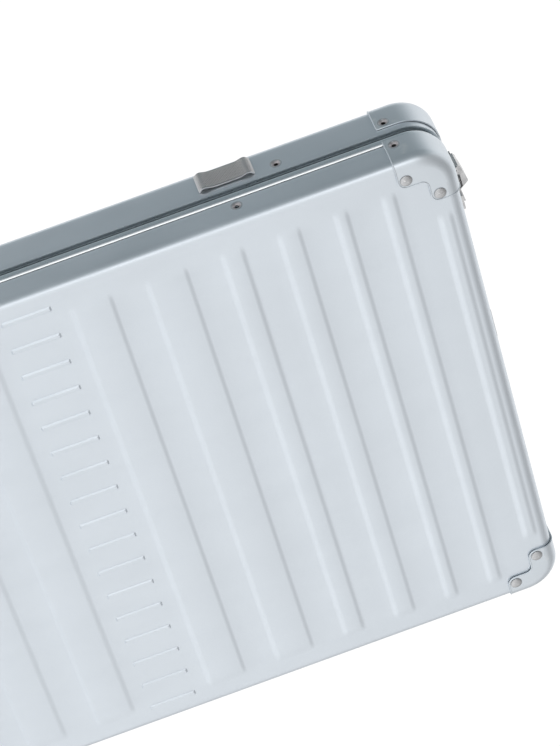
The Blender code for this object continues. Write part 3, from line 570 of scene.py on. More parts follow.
def smooth(value):
    """A soft step from 0 to 1 as the value goes from 0 to 1."""
    clipped = np.clip(value, 0.0, 1.0)
    return clipped * clipped * (3 - 2 * clipped)


def filled(stops, spacing):
    """The stops in order, with more between any two further apart than the spacing."""
    ordered = sorted(set(round(stop, 4) for stop in stops))
    result = [ordered[0]]
    for stop in ordered[1:]:
        last = result[-1]
        if stop - last < 0.05:
            continue
        count = max(1, math.ceil((stop - last) / spacing))
        result += [last + (stop - last) * step / count for step in range(1, count + 1)]
    return np.array(result)


class Tray:
    """A pressed or moulded tray: a face with rounded corners, a rounded edge, and walls down to a rim.

    The face may be raised or sunk by height(x, z). Faces whose middle is in one of the openings are left out,
    so each opening's sides are stops of the grid.
    """

    def __init__(self, half_x, half_z, middle_z, corner, edge, face, rim):
        self.half_x, self.half_z, self.middle_z = half_x - edge, half_z - edge, middle_z
        self.corner, self.edge = corner - edge, edge
        self.face, self.rim = face, rim
        self.outward = math.copysign(1, face - rim)
        self.x_stops, self.z_stops, self.levels, self.openings = [], [], [], []

    def opening(self, low, high):
        self.openings.append((low, high))
        self.x_stops += [low[0], high[0]]
        self.z_stops += [low[2], high[2]]
        self.levels += [low[1], high[1]]

    def grid_lines(self, spacing):
        lines = []
        ways = ((self.x_stops, self.half_x, 0), (self.z_stops, self.half_z, self.middle_z))
        for stops, half, middle in ways:
            inside = [stop for stop in stops if abs(stop - middle) < half]
            for side in (-1, 1):
                start = middle + side * (half - self.corner)
                inside += [start + side * self.corner * step / 7 for step in range(8)]
            lines.append(filled(inside, spacing))
        return lines

    def rounded_in(self, x, z):
        """The grid's square corners pulled in to quarter circles."""
        a = (np.abs(x) - (self.half_x - self.corner)) / self.corner
        b = (np.abs(z - self.middle_z) - (self.half_z - self.corner)) / self.corner
        inside = (a > 0) & (b > 0)
        a, b = np.clip(a, 0, 1), np.clip(b, 0, 1)
        pulled_a = a * np.sqrt(1 - b * b / 2)
        pulled_b = b * np.sqrt(1 - a * a / 2)
        new_x = np.sign(x) * (self.half_x - self.corner + pulled_a * self.corner)
        from_middle = self.half_z - self.corner + pulled_b * self.corner
        new_z = self.middle_z + np.sign(z - self.middle_z) * from_middle
        return np.where(inside, new_x, x), np.where(inside, new_z, z)

    def normals(self, x, z):
        a = np.maximum(np.abs(x) - (self.half_x - self.corner), 0) * np.sign(x)
        from_middle = z - self.middle_z
        b = np.maximum(np.abs(from_middle) - (self.half_z - self.corner), 0) * np.sign(from_middle)
        length = np.maximum(np.hypot(a, b), 1e-9)
        return a / length, b / length

    def wall_rows(self, edge_steps, rim_turn):
        """Each ring below the face as (distance out from the face's outline, y)."""
        rows = []
        for angle in quarter_turn(edge_steps)[1:]:
            drop = self.edge * (1 - math.cos(angle))
            rows.append((self.edge * math.sin(angle), self.face - self.outward * drop))
        low, high = sorted((self.face - self.outward * self.edge, self.rim + self.outward * rim_turn))
        inside = [level for level in self.levels if low + 0.05 < level < high - 0.05]
        levels = sorted(filled([low, high, *inside], 12), key=lambda level: -level * self.outward)
        rows += [(self.edge, level) for level in levels[1:]]
        for angle in quarter_turn(3)[1:]:
            inward = rim_turn * (1 - math.cos(angle))
            rows.append((self.edge - inward, self.rim + self.outward * rim_turn * (1 - math.sin(angle))))
        return rows

    def mesh(self, name, height, spacing=14, edge_steps=8, rim_turn=0.7):
        xs, zs = self.grid_lines(spacing)
        grid_x, grid_z = np.meshgrid(xs, zs, indexing="ij")
        rise = height(grid_x, grid_z)
        x, z = self.rounded_in(grid_x, grid_z)
        y = self.face + self.outward * rise
        columns, rows = len(xs), len(zs)
        points = [tuple(point) for point in np.stack([x, y, z], axis=-1).reshape(-1, 3)]
        faces = grid_faces(columns, rows)
        loop = [i * rows for i in range(columns)]
        loop += [(columns - 1) * rows + j for j in range(1, rows)]
        loop += [i * rows + rows - 1 for i in range(columns - 2, -1, -1)]
        loop += range(rows - 2, 0, -1)
        base = np.array([points[index] for index in loop])
        out_x, out_z = self.normals(base[:, 0], base[:, 2])
        previous = loop
        for out, level in self.wall_rows(edge_steps, rim_turn):
            start = len(points)
            points += [
                (px + nx * out, level, pz + nz * out) for (px, _, pz), nx, nz in zip(base, out_x, out_z)
            ]
            ring = range(start, len(points))
            faces += ring_faces(previous, ring)
            previous = ring
        return mesh_of(name, points, self.kept(points, faces))

    def kept(self, points, faces):
        if not self.openings:
            return faces
        where = np.array(points)
        middles = where[np.array(faces)].mean(axis=1)
        keep = np.ones(len(faces), bool)
        for low, high in self.openings:
            inside = np.all((middles > np.array(low) - 1e-6) & (middles < np.array(high) + 1e-6), axis=1)
            keep &= ~inside
        return [face for face, wanted in zip(faces, keep) if wanted]


# Shells


def ribs():
    """Each rib as (how far it starts from the middle row, how far it ends, half its length)."""
    offset, found = RIB_START, []
    for index, width in enumerate(RIB_WIDTHS):
        end = SIDE - (OUTER_RIB_END if index == len(RIB_WIDTHS) - 1 else RIB_END)
        found.append((offset, offset + width, end))
        offset += width + RIB_GAP
    return found


def dash_middles():
    return [-SIDE + DASH_FIRST + index * DASH_PITCH for index in range(DASH_COUNT)]


def stamped(x, z):
    """How far the face's stampings stand out at (x, z)."""
    rise = np.zeros_like(x)
    away_from_row = np.abs(z - MIDDLE)
    for start, stop, end in ribs():
        up = smooth((away_from_row - start - INNER_FLANK[0]) / (INNER_FLANK[1] - INNER_FLANK[0]))
        down = smooth((stop + OUTER_FLANK[1] - away_from_row) / (OUTER_FLANK[1] - OUTER_FLANK[0]))
        across = np.minimum(up, down)
        along = smooth((end - np.abs(x)) / RIB_FADE)
        rise = np.maximum(rise, RIB_RISE * across * along)
    flat_x, flat_z = DASH_WIDTH / 2 - DASH_SHOULDER, DASH_LENGTH / 2 - DASH_SHOULDER
    for middle in dash_middles():
        across = np.maximum(np.abs(x - middle) - flat_x, 0)
        along = np.maximum(np.abs(z - MIDDLE) - flat_z, 0)
        up = np.clip(1 - np.hypot(across, along) / DASH_SHOULDER, 0, 1)
        rise = np.maximum(rise, DASH_RISE * (0.6 * up + 0.4 * smooth(up)))
    return rise


def shell_tray(face, rim):
    tray = Tray(SIDE, HEIGHT / 2, MIDDLE, CORNER_RADIUS, EDGE_RADIUS, face, rim)
    for start, stop, end in ribs():
        for share in (0, 0.2, 0.4, 0.6, 0.8, 1):
            inner = start + INNER_FLANK[0] + (INNER_FLANK[1] - INNER_FLANK[0]) * share
            outer = stop + OUTER_FLANK[0] + (OUTER_FLANK[1] - OUTER_FLANK[0]) * share
            tray.z_stops += [MIDDLE + inner, MIDDLE - inner, MIDDLE + outer, MIDDLE - outer]
            tray.x_stops += [end - RIB_FADE * share, -end + RIB_FADE * share]
    for middle in dash_middles():
        for share in DASH_STOPS:
            tray.x_stops += [middle + DASH_WIDTH / 2 * share, middle - DASH_WIDTH / 2 * share]
    for side in (-1, 1):
        for inward in (0, 0.33, 0.65, 0.98, 1.3, 2.6, 4.5):
            tray.z_stops.append(MIDDLE + side * (DASH_LENGTH / 2 - inward))
        tray.z_stops.append(MIDDLE + side * (DASH_LENGTH / 2 + 0.4))
    return tray


def pop_opening(tray, x, y, z, across):
    """Room in a wall for the well of a pop rivet."""
    reach = {"X": (20, POP_WELL, POP_WELL), "Z": (POP_WELL, POP_WELL, 20)}[across]
    low = tuple(value - step for value, step in zip((x, y, z), reach))
    tray.opening(low, tuple(value + step for value, step in zip((x, y, z), reach)))


def plate_pop_openings(tray, y):
    """Room under the corner plates for the blind rivets through them."""
    for side in (-1, 1):
        for end in (-1, 1):
            pop_opening(tray, side * SIDE, y, MIDDLE + end * (HEIGHT / 2 - POP_FROM_END), "X")
            pop_opening(tray, side * (SIDE - POP_FROM_END), y, MIDDLE + end * HEIGHT / 2, "Z")


def make_front_shell():
    tray = shell_tray(-FACE, LID_SHELL_RIM)
    plate_pop_openings(tray, LID_POP_Y)
    for z in LATCH_HEIGHTS:
        pop_opening(tray, -SIDE, KEEPER_POP_Y, z, "X")
    shell = finished("lid_shell", tray.mesh("lid_shell", stamped), "sheet", "lid", 60)
    thickened(shell, SHEET)
    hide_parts("front_shell")


def make_back_shell():
    tray = shell_tray(FACE, CASE_SHELL_RIM)
    plate_pop_openings(tray, CASE_POP_Y)
    for side in (-1, 1):
        x = side * WHEEL_X
        tray.opening((x - 15.8, 8.1, -20), (x + 15.8, 60, 39.3))
        x, half = side * CARRY_X, SLEEVE_HALF + GAP
        tray.opening((x - half, CARRY_Y - half, TOP - 10), (x + half, CARRY_Y + half, TOP + 20))
    half = TRAY_X + GAP
    tray.opening((-half, TRAY_FRONT - GAP, TOP - TRAY_DROP - GAP), (half, 60, TOP + 20))
    for z, off in zip(LATCH_HEIGHTS, (-LATCH_POP_OFF, LATCH_POP_OFF)):
        tray.opening((-SIDE - 20, 13.0, z - 3.2), (-SIDE + 5, 18.0, z + 10.2))
        pop_opening(tray, -SIDE, LATCH_POP_Y, z + off, "X")
    shell = finished("case_shell", tray.mesh("case_shell", stamped), "sheet", "case", 60)
    thickened(shell, SHEET)
    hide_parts("back_shell")


# Frames


def swept_round(name, profile, paint, body, closed=True):
    """A profile of (inset, y) swept round the case's outline."""
    loop = corner_arcs(SIDE, HEIGHT / 2, MIDDLE, CORNER_RADIUS, 14)
    count, points, faces = len(loop), [], []
    for inset, y in profile:
        radius = CORNER_RADIUS - inset
        points += [(cx + nx * radius, y, cz + nz * radius) for cx, cz, nx, nz in loop]
    last = len(profile) if closed else len(profile) - 1
    for ring in range(last):
        one, two = ring * count, (ring + 1) % len(profile) * count
        faces += ring_faces(range(one, one + count), range(two, two + count))
    return finished(name, mesh_of(name, points, faces), paint, body, 30)


def make_frames():
    flange = [(1.9, -8.3), (0.3, -8.2), (0.3, -3.3), (0.45, -2.7), (0.85, -2.3), (2.2, -2.15), (4.0, -2.1)]
    lid_frame = swept_round("lid_frame", [(4.0, -19.0), (1.8, -19.0), *flange], "frame", "lid")
    lip = [(1.85, -10.3), (0.5, -10.35), (0.15, -10.0), (-0.55, -9.3)]
    lip += [(-0.75, -8.9), (-0.5, -8.45), (0.4, -8.15), (1.85, -8.15)]
    # The lip takes the lighter paint, a painted highlight.
    rolled = swept_round("rolled_lip", lip, "lip", "lid")
    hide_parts("front_frame")
    ledge = [(0.0, 3.15), (-0.4, 2.95), (-0.5, 2.55), (-0.3, 2.15), (0.5, 1.95), (2.8, 1.9), (2.8, 1.6)]
    wall = [(6.0, 8.0), (1.8, 8.0), (1.8, 3.2), *ledge]
    tongue = [(4.3, 1.6), (4.3, -5.4), (4.9, -6.0), (6.0, -6.0)]
    case_frame = swept_round("case_frame", wall + tongue, "frame", "case")
    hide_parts("back_frame")
    bulge = [(3.45 - 0.52 * math.sin(math.pi * t / 6), -0.2 + 1.5 * t / 6) for t in range(7)]
    seal = swept_round("groove_seal", [(4.0, -0.2), *bulge, (4.0, 1.3)], "seal", "case")
    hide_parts("rim_seal")


# Corner plates


def lobed_edge():
    """The plate's edge on the face, as (from the side, from the end) of the corner."""
    reach, lobe = PLATE_REACH, PLATE_LOBE
    corners = (
        ((reach, lobe), (0, -1), (-1, 0), PLATE_OUTER_TURN),
        ((lobe, lobe), (1, 0), (0, 1), PLATE_INNER_TURN),
        ((lobe, reach), (0, -1), (-1, 0), PLATE_OUTER_TURN),
    )
    points = [(reach, EDGE_RADIUS)]
    for (a, b), arriving, leaving, radius in corners:
        arriving, leaving = Vector(arriving), Vector(leaving)
        centre = Vector((a, b)) + (arriving + leaving) * radius
        for angle in quarter_turn():
            spoke = -leaving * math.cos(angle) - arriving * math.sin(angle)
            points.append(tuple(centre + spoke * radius))
    return points + [(EDGE_RADIUS, reach)]


def corner_spine():
    """Where the plate's face turns down into its walls: points with their way out, from side to side."""
    stops = (POP_FROM_END + POP_WELL, POP_FROM_END, POP_FROM_END - POP_WELL)
    arc = CORNER_RADIUS - EDGE_RADIUS
    spine = [((EDGE_RADIUS, b), (-1, 0)) for b in (PLATE_REACH, *stops)]
    for angle in quarter_turn(12):
        out = (-math.cos(angle), -math.sin(angle))
        spine.append(((CORNER_RADIUS + out[0] * arc, CORNER_RADIUS + out[1] * arc), out))
    return spine + [((a, EDGE_RADIUS), (0, -1)) for a in (*reversed(stops), PLATE_REACH)]


def corner_plate(name, side, end, half, body):
    spine = corner_spine()
    face_loop = [point for point, _ in spine] + lobed_edge()[1:-1]
    face_y = half * (FACE + PLATE_LIFT)
    rim = LID_PLATE_RIM if half < 0 else CASE_PLATE_RIM

    def corner(a, b, y):
        return side * (SIDE - a), y, MIDDLE + end * (HEIGHT / 2 - b)

    points = [corner(a, b, face_y) for a, b in face_loop]
    faces = list(tessellate_polygon([[Vector((a, b, 0)) for a, b in face_loop]]))
    radius = EDGE_RADIUS + PLATE_LIFT
    rows = []
    for angle in quarter_turn(9)[1:]:
        rows.append((radius * math.sin(angle), face_y - half * radius * (1 - math.cos(angle))))
    pop = pop_height(half)
    levels = (pop + half * POP_WELL, pop, pop - half * POP_WELL, rim)
    rows += [(radius, level) for level in levels]
    previous = list(range(len(spine)))
    for out, level in rows:
        start = len(points)
        points += [corner(a + na * out, b + nb * out, level) for (a, b), (na, nb) in spine]
        ring = list(range(start, len(points)))
        for index in range(len(spine) - 1):
            here, after = spine[index][0], spine[index + 1][0]
            middle = (here[0] + after[0]) / 2, (here[1] + after[1]) / 2
            in_well = max(middle) > POP_FROM_END - POP_WELL and max(middle) < POP_FROM_END + POP_WELL
            if in_well and out == radius and min(abs(level - levels[1]), abs(level - levels[2])) < 1e-6:
                continue
            faces.append((previous[index], previous[index + 1], ring[index + 1], ring[index]))
        previous = ring
    plate_bead(name, spine, lobed_edge(), rows, corner, face_y, body)
    plate = finished(name, mesh_of(name, points, faces), "plate", body)
    bevelled(thickened(plate, PLATE_SKIN), 0.38, 3, 50)
    return plate


def pop_height(half):
    return LID_POP_Y if half < 0 else CASE_POP_Y


def plate_bead(name, spine, edge, rows, corner, face_y, body):
    """The rolled edge of the plate: up one wall, over the lobes on the face, and down the other wall."""
    ends = spine[-1], spine[0]
    up, down = [
        [corner(a + na * out, b + nb * out, level) for out, level in rows] for (a, b), (na, nb) in ends
    ]
    path = [*reversed(up), *[corner(a, b, face_y) for a, b in edge], *down]
    bead = cord_along(f"{name}_bead", path, 0.5, "plate", body)


def cord_along(name, path, radius, paint, body, closed=False):
    """A round cord through points of the case's frame."""
    curve = bpy.data.curves.new(name, "CURVE")
    curve.dimensions = "3D"
    curve.bevel_depth = radius * MM
    curve.bevel_resolution = 3
    curve.use_fill_caps = not closed
    spline = curve.splines.new("POLY")
    spline.points.add(len(path) - 1)
    for target, point in zip(spline.points, path):
        target.co = (*place(*point), 1)
    spline.use_cyclic_u = closed
    curve.materials.append(PAINT[paint])
    piece = linked(name, curve)
    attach(piece, body)
    return piece


def dome_rivet(name, x, y, z, towards, body):
    """A domed rivet head with a thin shadow line under its rim."""
    radius, rise = RIVET_RADIUS, RIVET_RISE
    crown = [(radius * math.sin(a), 0.30 + (rise - 0.30) * math.cos(a)) for a in quarter_turn(8)]
    profile = [*crown, (radius - 0.02, 0.18), (radius - 0.35, 0.04), (radius - 0.5, -0.2), (0, -0.2)]
    head = turned(name, profile, (x, y, z), "Y", "rivet", body, 36, towards)


def pop_rivet(name, centre, axis, towards, body):
    """A countersunk blind rivet: a thin flange, a cone down to the hole, and a closed well past it, painted
    near black as the bore's shade.
    """
    flange = [(POP_RADIUS, -0.1), (POP_RADIUS, 0.06), (POP_RADIUS - 0.25, 0.22), (POP_RADIUS - 0.8, 0.2)]
    ring = turned(name, [*flange, (3.7, 0.02)], centre, axis, "pop", body, 36, towards)
    slope = [(3.75, 0.04), (2.0, -1.0), (1.75, -1.3)]
    cone = turned(f"{name}_cone", slope, centre, axis, "cone", body, 36, towards)
    # The bore's shade is painted: a closed well in near black.
    well = [(1.8, -1.2), (1.8, -6.0), (0, -6.0)]
    bore = turned(f"{name}_bore", well, centre, axis, "bore_shade", body, 24, towards)


def make_corner_plates():
    for half, half_name, body in ((-1, "front", "lid"), (1, "back", "case")):
        for end, end_name in ((-1, "lower"), (1, "upper")):
            for side, side_name in ((-1, "left"), (1, "right")):
                where = f"{half_name}_{end_name}_{side_name}"
                plate = corner_plate(f"plate_{where}", side, end, half, body)
                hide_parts(f"corner_plate_{where}")
                for index, (a, b) in enumerate(((RIVET_NEAR, RIVET_FAR), (RIVET_FAR, RIVET_NEAR))):
                    x, z = side * (SIDE - a), MIDDLE + end * (HEIGHT / 2 - b)
                    dome_rivet(f"rivet_{where}_{index}", x, half * (FACE + PLATE_LIFT), z, half, body)
                y = pop_height(half)
                z = MIDDLE + end * (HEIGHT / 2 - POP_FROM_END)
                pop_rivet(f"pop_side_{where}", (side * (SIDE + PLATE_LIFT), y, z), "X", side, body)
                x, z = side * (SIDE - POP_FROM_END), MIDDLE + end * (HEIGHT / 2 + PLATE_LIFT)
                pop_rivet(f"pop_end_{where}", (x, y, z), "Z", end, body)


def make_latch_rivets():
    for z, off, name in zip(LATCH_HEIGHTS, (-LATCH_POP_OFF, LATCH_POP_OFF), ("lower", "upper")):
        pop_rivet(f"pop_keeper_{name}", (-SIDE, KEEPER_POP_Y, z), "X", -1, "lid")
        pop_rivet(f"pop_latch_{name}", (-SIDE, LATCH_POP_Y, z + off), "X", -1, "case")


# Latches


def latch_profile():
    """The saddle's outer surface, as (along, rise), rounded at its two humps."""
    stops = ((0, 2.3), (8, 2.35), (12.2, 2.6), (15.0, 3.4), (17.2, 4.0), (18.6, 4.1), (20.6, 3.7))
    stops += ((LATCH_HALF, 1.1),)
    along = np.linspace(0, LATCH_HALF, 95)
    rise = np.interp(along, [stop[0] for stop in stops], [stop[1] for stop in stops])
    kernel = np.ones(5) / 5
    rise[2:-2] = np.convolve(rise, kernel, "valid")
    return [(-a, r) for a, r in reversed(list(zip(along, rise)))] + list(zip(along, rise))[1:]


def make_latch_slider(z, name):
    """A pressed strip with a hump at each end, knurled on top and hollow underneath."""
    profile = latch_profile()
    across = np.linspace(LATCH_Y[0], LATCH_Y[1], 81)
    knurl = 2 * math.pi / KNURL_PITCH
    points = []
    for along, rise in profile:
        for y in across:
            edge = min(y - LATCH_Y[0], LATCH_Y[1] - y, LATCH_HALF - abs(along))
            dots = max(0.0, math.sin(along * knurl) * math.sin((y - LATCH_Y[0]) * knurl))
            lift = KNURL_RISE * dots * float(smooth((edge - 1.2) / 0.6))
            points.append((-SIDE - min(rise + lift, LATCH_RISE), y, z + along))
    body = f"latch_slider_{name}"
    mesh = mesh_of(f"slider_{name}", points, backward(grid_faces(len(profile), len(across))))
    slider = finished(f"slider_{name}", mesh, "latch", body, 50)
    aim = slider.data.polygons[len(slider.data.polygons) // 2].normal
    thickened(slider, LATCH_SHEET if aim.x < 0 else -LATCH_SHEET)
    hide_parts(f"latch_slider_{name}")
    low, high = (-SIDE - 2.0, 13.5, z - 2.5), (-SIDE + 10.0, 17.5, z + 2.5)
    box_piece(f"slider_leg_{name}", low, high, "steel", body, 0.4)


def box_piece(name, low, high, paint, body, edge):
    """A bevelled block between two corners of the case's frame."""
    (x0, y0, z0), (x1, y1, z1) = low, high
    points = [(x, y, z) for x in (x0, x1) for y in (y0, y1) for z in (z0, z1)]
    piece = finished(name, mesh_of(name, points, BOX_FACES), paint, body)
    return bevelled(piece, edge)


# Linings


def cloth_waves(seed, depth):
    """A gentle uneven surface, the same on every run."""
    chance = random.Random(seed)
    waves = []
    for _ in range(10):
        angle = chance.uniform(0, math.pi)
        length = chance.uniform(60, 190)
        waves.append((math.cos(angle) / length, math.sin(angle) / length, chance.uniform(0, 2 * math.pi)))

    def height(x, z):
        total = np.zeros_like(x)
        for a, b, phase in waves:
            total += np.sin(2 * math.pi * (a * x + b * (z - MIDDLE)) + phase)
        return depth * total / len(waves)

    return height


def hollow_lining(name, half_x, half_z, middle_z, corner, floor, rim, keepers, body, nodes, seed):
    """A cloth lining: a tray turned inside out, a little uneven and sunk towards its edges."""
    tray = Tray(half_x, half_z, middle_z, corner, 5.0, floor, rim)
    for low, high in keepers:
        tray.opening(low, high)
    waves = cloth_waves(seed, 0.5)
    edge_x, edge_z = tray.half_x, tray.half_z

    def height(x, z):
        near = np.minimum(edge_x - np.abs(x), edge_z - np.abs(z - middle_z))
        puckers = 0.12 * np.sin(near * 0.55) * smooth(near / 6)
        return waves(x, z) * smooth(near / 30) - 0.45 * smooth(near / 20) + puckers

    mesh = reshaped(tray.mesh(name, height, 9, 5), turned_over)
    lining = finished(name, mesh, "lining", body, 60)
    thickened(lining, 0.7)
    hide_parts(*nodes)
    return lining


def seam_round(name, half_x, half_z, middle_z, corner, y, radius, paint, body):
    """A cord of piping along a rounded rectangle."""
    points = [(x, y, z) for x, z in rounded_loop(half_x, half_z, middle_z, corner)]
    piece = cord_along(name, points, radius, paint, body, closed=True)
    return piece


def stitches(name, path, body, length=2.6, gap=1.4, radius=0.22):
    """A row of sewn stitches along straight stretches of a path, as one piece."""
    points, faces = [], []
    for start, end in zip(path, path[1:]):
        start, end = Vector(start), Vector(end)
        way = (end - start).normalized()
        side = way.cross(Vector((0, 1, 0))).normalized()
        up = Vector((0, 1, 0))
        count = int((end - start).length // (length + gap))
        for index in range(count):
            near = start + way * (index * (length + gap) + gap / 2)
            first = len(points)
            for along, swell in ((0, 0.35), (0.3, 1.0), (0.7, 1.0), (1, 0.35)):
                middle = near + way * length * along
                for step in range(6):
                    angle = math.pi * 2 * step / 6
                    offset = side * math.cos(angle) * radius + up * math.sin(angle) * radius * 0.8
                    points.append(tuple(middle + offset * swell))
            for ring in range(first, first + 18, 6):
                faces += ring_faces(range(ring, ring + 6), range(ring + 6, ring + 12))
            faces.append(tuple(first + step for step in range(6)))
            faces.append(tuple(first + 18 + step for step in range(5, -1, -1)))
    piece = finished(name, mesh_of(name, points, faces), "thread", body)
    return piece


def flat_plate(name, loops, low, high, paint, body, slot, edge=0.3):
    """A flat sheet in X and Z on these outlines, the inner ones holes, between two heights along Y."""
    curve = bpy.data.curves.new(name, "CURVE")
    curve.dimensions = "2D"
    curve.fill_mode = "BOTH"
    curve.extrude = (high - low) / 2 * MM
    for loop in loops:
        spline = curve.splines.new("POLY")
        spline.points.add(len(loop) - 1)
        for target, (x, z) in zip(spline.points, loop):
            target.co = (x * MM, z * MM, 0, 1)
        spline.use_cyclic_u = True
    source = linked(name, curve)
    mesh = bpy.data.meshes.new_from_object(source.evaluated_get(bpy.context.evaluated_depsgraph_get()))
    bpy.data.objects.remove(source)
    bpy.data.curves.remove(curve)
    turn = Matrix(((1, 0, 0), (0, 0, -1), (0, 1, 0))).to_4x4()
    mesh.transform(Matrix.Translation(place(0, (low + high) / 2, 0)) @ turn)
    piece = finished(name, reshaped(mesh, welded, facing_out), paint, body)
    return bevelled(piece, edge)


LID_LINING = (SIDE - 7.8, HEIGHT / 2 - 7.8, MIDDLE, CORNER_RADIUS - 7.8)
CASE_LINING = (240.4, 319.6, 363.0, 6.2)
LID_LINING_Y, CASE_LINING_Y = (-36.4, -1.3), (22.3, 1.6)
COVER_INSET, COVER_Y = 9.5, (1.0, 2.4)
POCKET_HALF, POCKET_MIDDLE = (190.0, 150.0), MIDDLE - 60.0
POCKET_Y, POCKET_LIMIT, BINDING_Y = -34.7, -33.0, -34.2
STRAP_HALF, STRAP_NEAR, STRAP_FAR = 12.5, 29.0, 236.0
STRAP_Y, STRAP_STITCH_Y = 20.55, 20.45


def make_linings():
    keepers = [((-SIDE, -19.5, z - 12), (-242, 2, z + 12)) for z in LATCH_HEIGHTS]
    hollow_lining("lid_lining", *LID_LINING, *LID_LINING_Y, keepers, "lid", ["front_lining"], 3)
    nodes = ["back_lining_walls", "back_lining_floor"]
    hollow_lining("case_lining", *CASE_LINING, *CASE_LINING_Y, [], "case", nodes, 8)
    inner = rounded_loop(*CASE_LINING)
    outer = rounded_loop(SIDE - COVER_INSET, HEIGHT / 2 - COVER_INSET, MIDDLE, CORNER_RADIUS - COVER_INSET)
    border = flat_plate("lining_border", [outer, inner], *COVER_Y, "lining", "case", "lining_fabric")
    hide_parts("back_lining_border_top", "back_lining_border_bottom")
    half_x, half_z, middle, corner = CASE_LINING
    seam_round("case_piping", half_x - 0.6, half_z - 0.6, middle, corner, 1.4, 1.1, "piping", "case")
    half_x, half_z, middle, corner = LID_LINING
    seam_round("lid_piping", half_x - 0.9, half_z - 0.9, middle, corner, -1.9, 1.1, "piping", "lid")


def make_pocket():
    """A flat cloth pocket on the lid's lining, gathered along its mouth and bound round the rest."""
    half_x, half_z = POCKET_HALF
    columns, rows = 121, 61
    xs = np.linspace(-half_x + 1, half_x - 1, columns)
    zs = np.linspace(POCKET_MIDDLE - half_z + 1, POCKET_MIDDLE + half_z - 1, rows)
    points = []
    for x in xs:
        for z in zs:
            share = (z - zs[0]) / (zs[-1] - zs[0])
            side = min(1.0, (half_x - abs(x)) / 25)
            gather = 0.5 * share**3 * math.sin(x * 0.42) * side
            belly = 1.1 * math.sin(math.pi * min(share, 0.92)) * side
            points.append((x, min(POCKET_Y + belly + gather, POCKET_LIMIT), z))
    mesh = mesh_of("pocket_cloth", points, backward(grid_faces(columns, rows)))
    pocket = finished("pocket_cloth", mesh, "pocket", "lid", 60)
    thickened(pocket, 0.6)
    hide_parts("lid_pocket")
    bottom, top = POCKET_MIDDLE - half_z, POCKET_MIDDLE + half_z
    corners = ((-half_x, top), (-half_x, bottom), (half_x, bottom), (half_x, top))
    binding = [tube_between(f"pocket_binding_{index}", one, two, BINDING_Y, 1.3, "piping", "lid")
               for index, (one, two) in enumerate(zip(corners, corners[1:]))]
    low, high = (-half_x, -34.9, top - 9), (half_x, -33.2, top)
    hem = box_piece("pocket_hem", low, high, "piping", "lid", 0.6)
    line = [(-half_x + 4, -33.15, top - 4.5), (half_x - 4, -33.15, top - 4.5)]
    hem_stitches = stitches("pocket_stitches", line, "lid")


def tube_between(name, one, two, y, radius, paint, body):
    """A straight length of piping between two points of (x, z)."""
    piece = cord_along(name, [(one[0], y, one[1]), (two[0], y, two[1])], radius, paint, body)
    return piece


def make_strap(side, name):
    """Webbing laid across the lining's floor, with a sewn box at its anchor."""
    half, near, far = STRAP_HALF, STRAP_NEAR, STRAP_FAR
    columns, rows = 90, 9
    points = []
    for i in range(columns):
        x = side * (near + (far - near) * i / (columns - 1))
        for j in range(rows):
            z = MIDDLE - half + 2 * half * j / (rows - 1)
            curl = 0.10 * math.sin(i * 0.32) * (1 - (j / (rows - 1) - 0.5) ** 2)
            points.append((x, STRAP_Y + curl, z))
    mesh = mesh_of(f"webbing_{name}", points, grid_faces(columns, rows))
    strap = finished(f"webbing_{name}", mesh, "webbing", "case", 60)
    thickness = 0.8 if strap.data.polygons[0].normal.y < 0 else -0.8
    bevelled(thickened(strap, thickness), 0.25, 2, 50)
    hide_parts(f"strap_{name}")
    x0, x1 = side * (far - 3), side * (far - 21)
    z0, z1 = MIDDLE - 9.5, MIDDLE + 9.5
    y = STRAP_STITCH_Y
    box = [(x0, y, z0), (x1, y, z0), (x1, y, z1), (x0, y, z1), (x0, y, z0), (x1, y, z1)]
    sewn = stitches(f"webbing_stitches_{name}", box, "case", 1.7, 0.9, 0.2)


# Screws on the hinges, and the wheels


def make_hinge_screws():
    x = SIDE + GAP + SHEET
    for z, end in zip(HINGE_HEIGHTS, ("lower", "upper")):
        for half, half_name, body in ((-1, "lid", "lid"), (1, "case", "case")):
            for index, off in enumerate((-30, 0, 30)):
                y = HINGE_Y + half * HINGE_SCREW_OFF
                name = f"hinge_rivet_{half_name}_{end}_{index}"
                crown = [(3.4 * math.sin(a), 1.1 * math.cos(a)) for a in quarter_turn()]
                head = turned(name, [*crown, (3.1, -0.3), (0, -0.3)], (x, y, z + off), "X", "rivet", body, 28)


def make_wheel(side, name):
    centre = (side * WHEEL_X, WHEEL_Y, WHEEL_RADIUS)
    half, body = WHEEL_WIDTH / 2, f"wheel_{name}"
    tread = [(12.5, half), (13.6, half), (14.4, half - 0.1)]
    tread += [(14.5 + 2.5 * math.sin(a), half - 2.6 + 2.5 * math.cos(a)) for a in quarter_turn()]
    groove = [(17.0, 3.3), (16.3, 3.0), (16.3, 2.4), (17.0, 2.1)]
    tyre = turned(f"tyre_{name}", mirrored(tread + groove), centre, "X", "rubber", body, 72, closed=True)
    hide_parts(f"wheel_tyre_{name}")
    face = [(2.3, half + 0.5), (4.3, half + 0.5), (4.9, half + 0.1), (5.1, 4.6), (9.3, 4.5)]
    face += [(10.1, half - 1.0), (10.5, half - 0.5), (12.2, half - 0.5)]
    hub = turned(f"hub_{name}", mirrored(face), centre, "X", "hub", body, 48, closed=True)
    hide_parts(f"wheel_hub_{name}")
    for end in (-1, 1):
        for index in range(6):
            spoke(f"spoke_{name}_{'a' if end < 0 else 'b'}_{index}", centre, end, index, body)


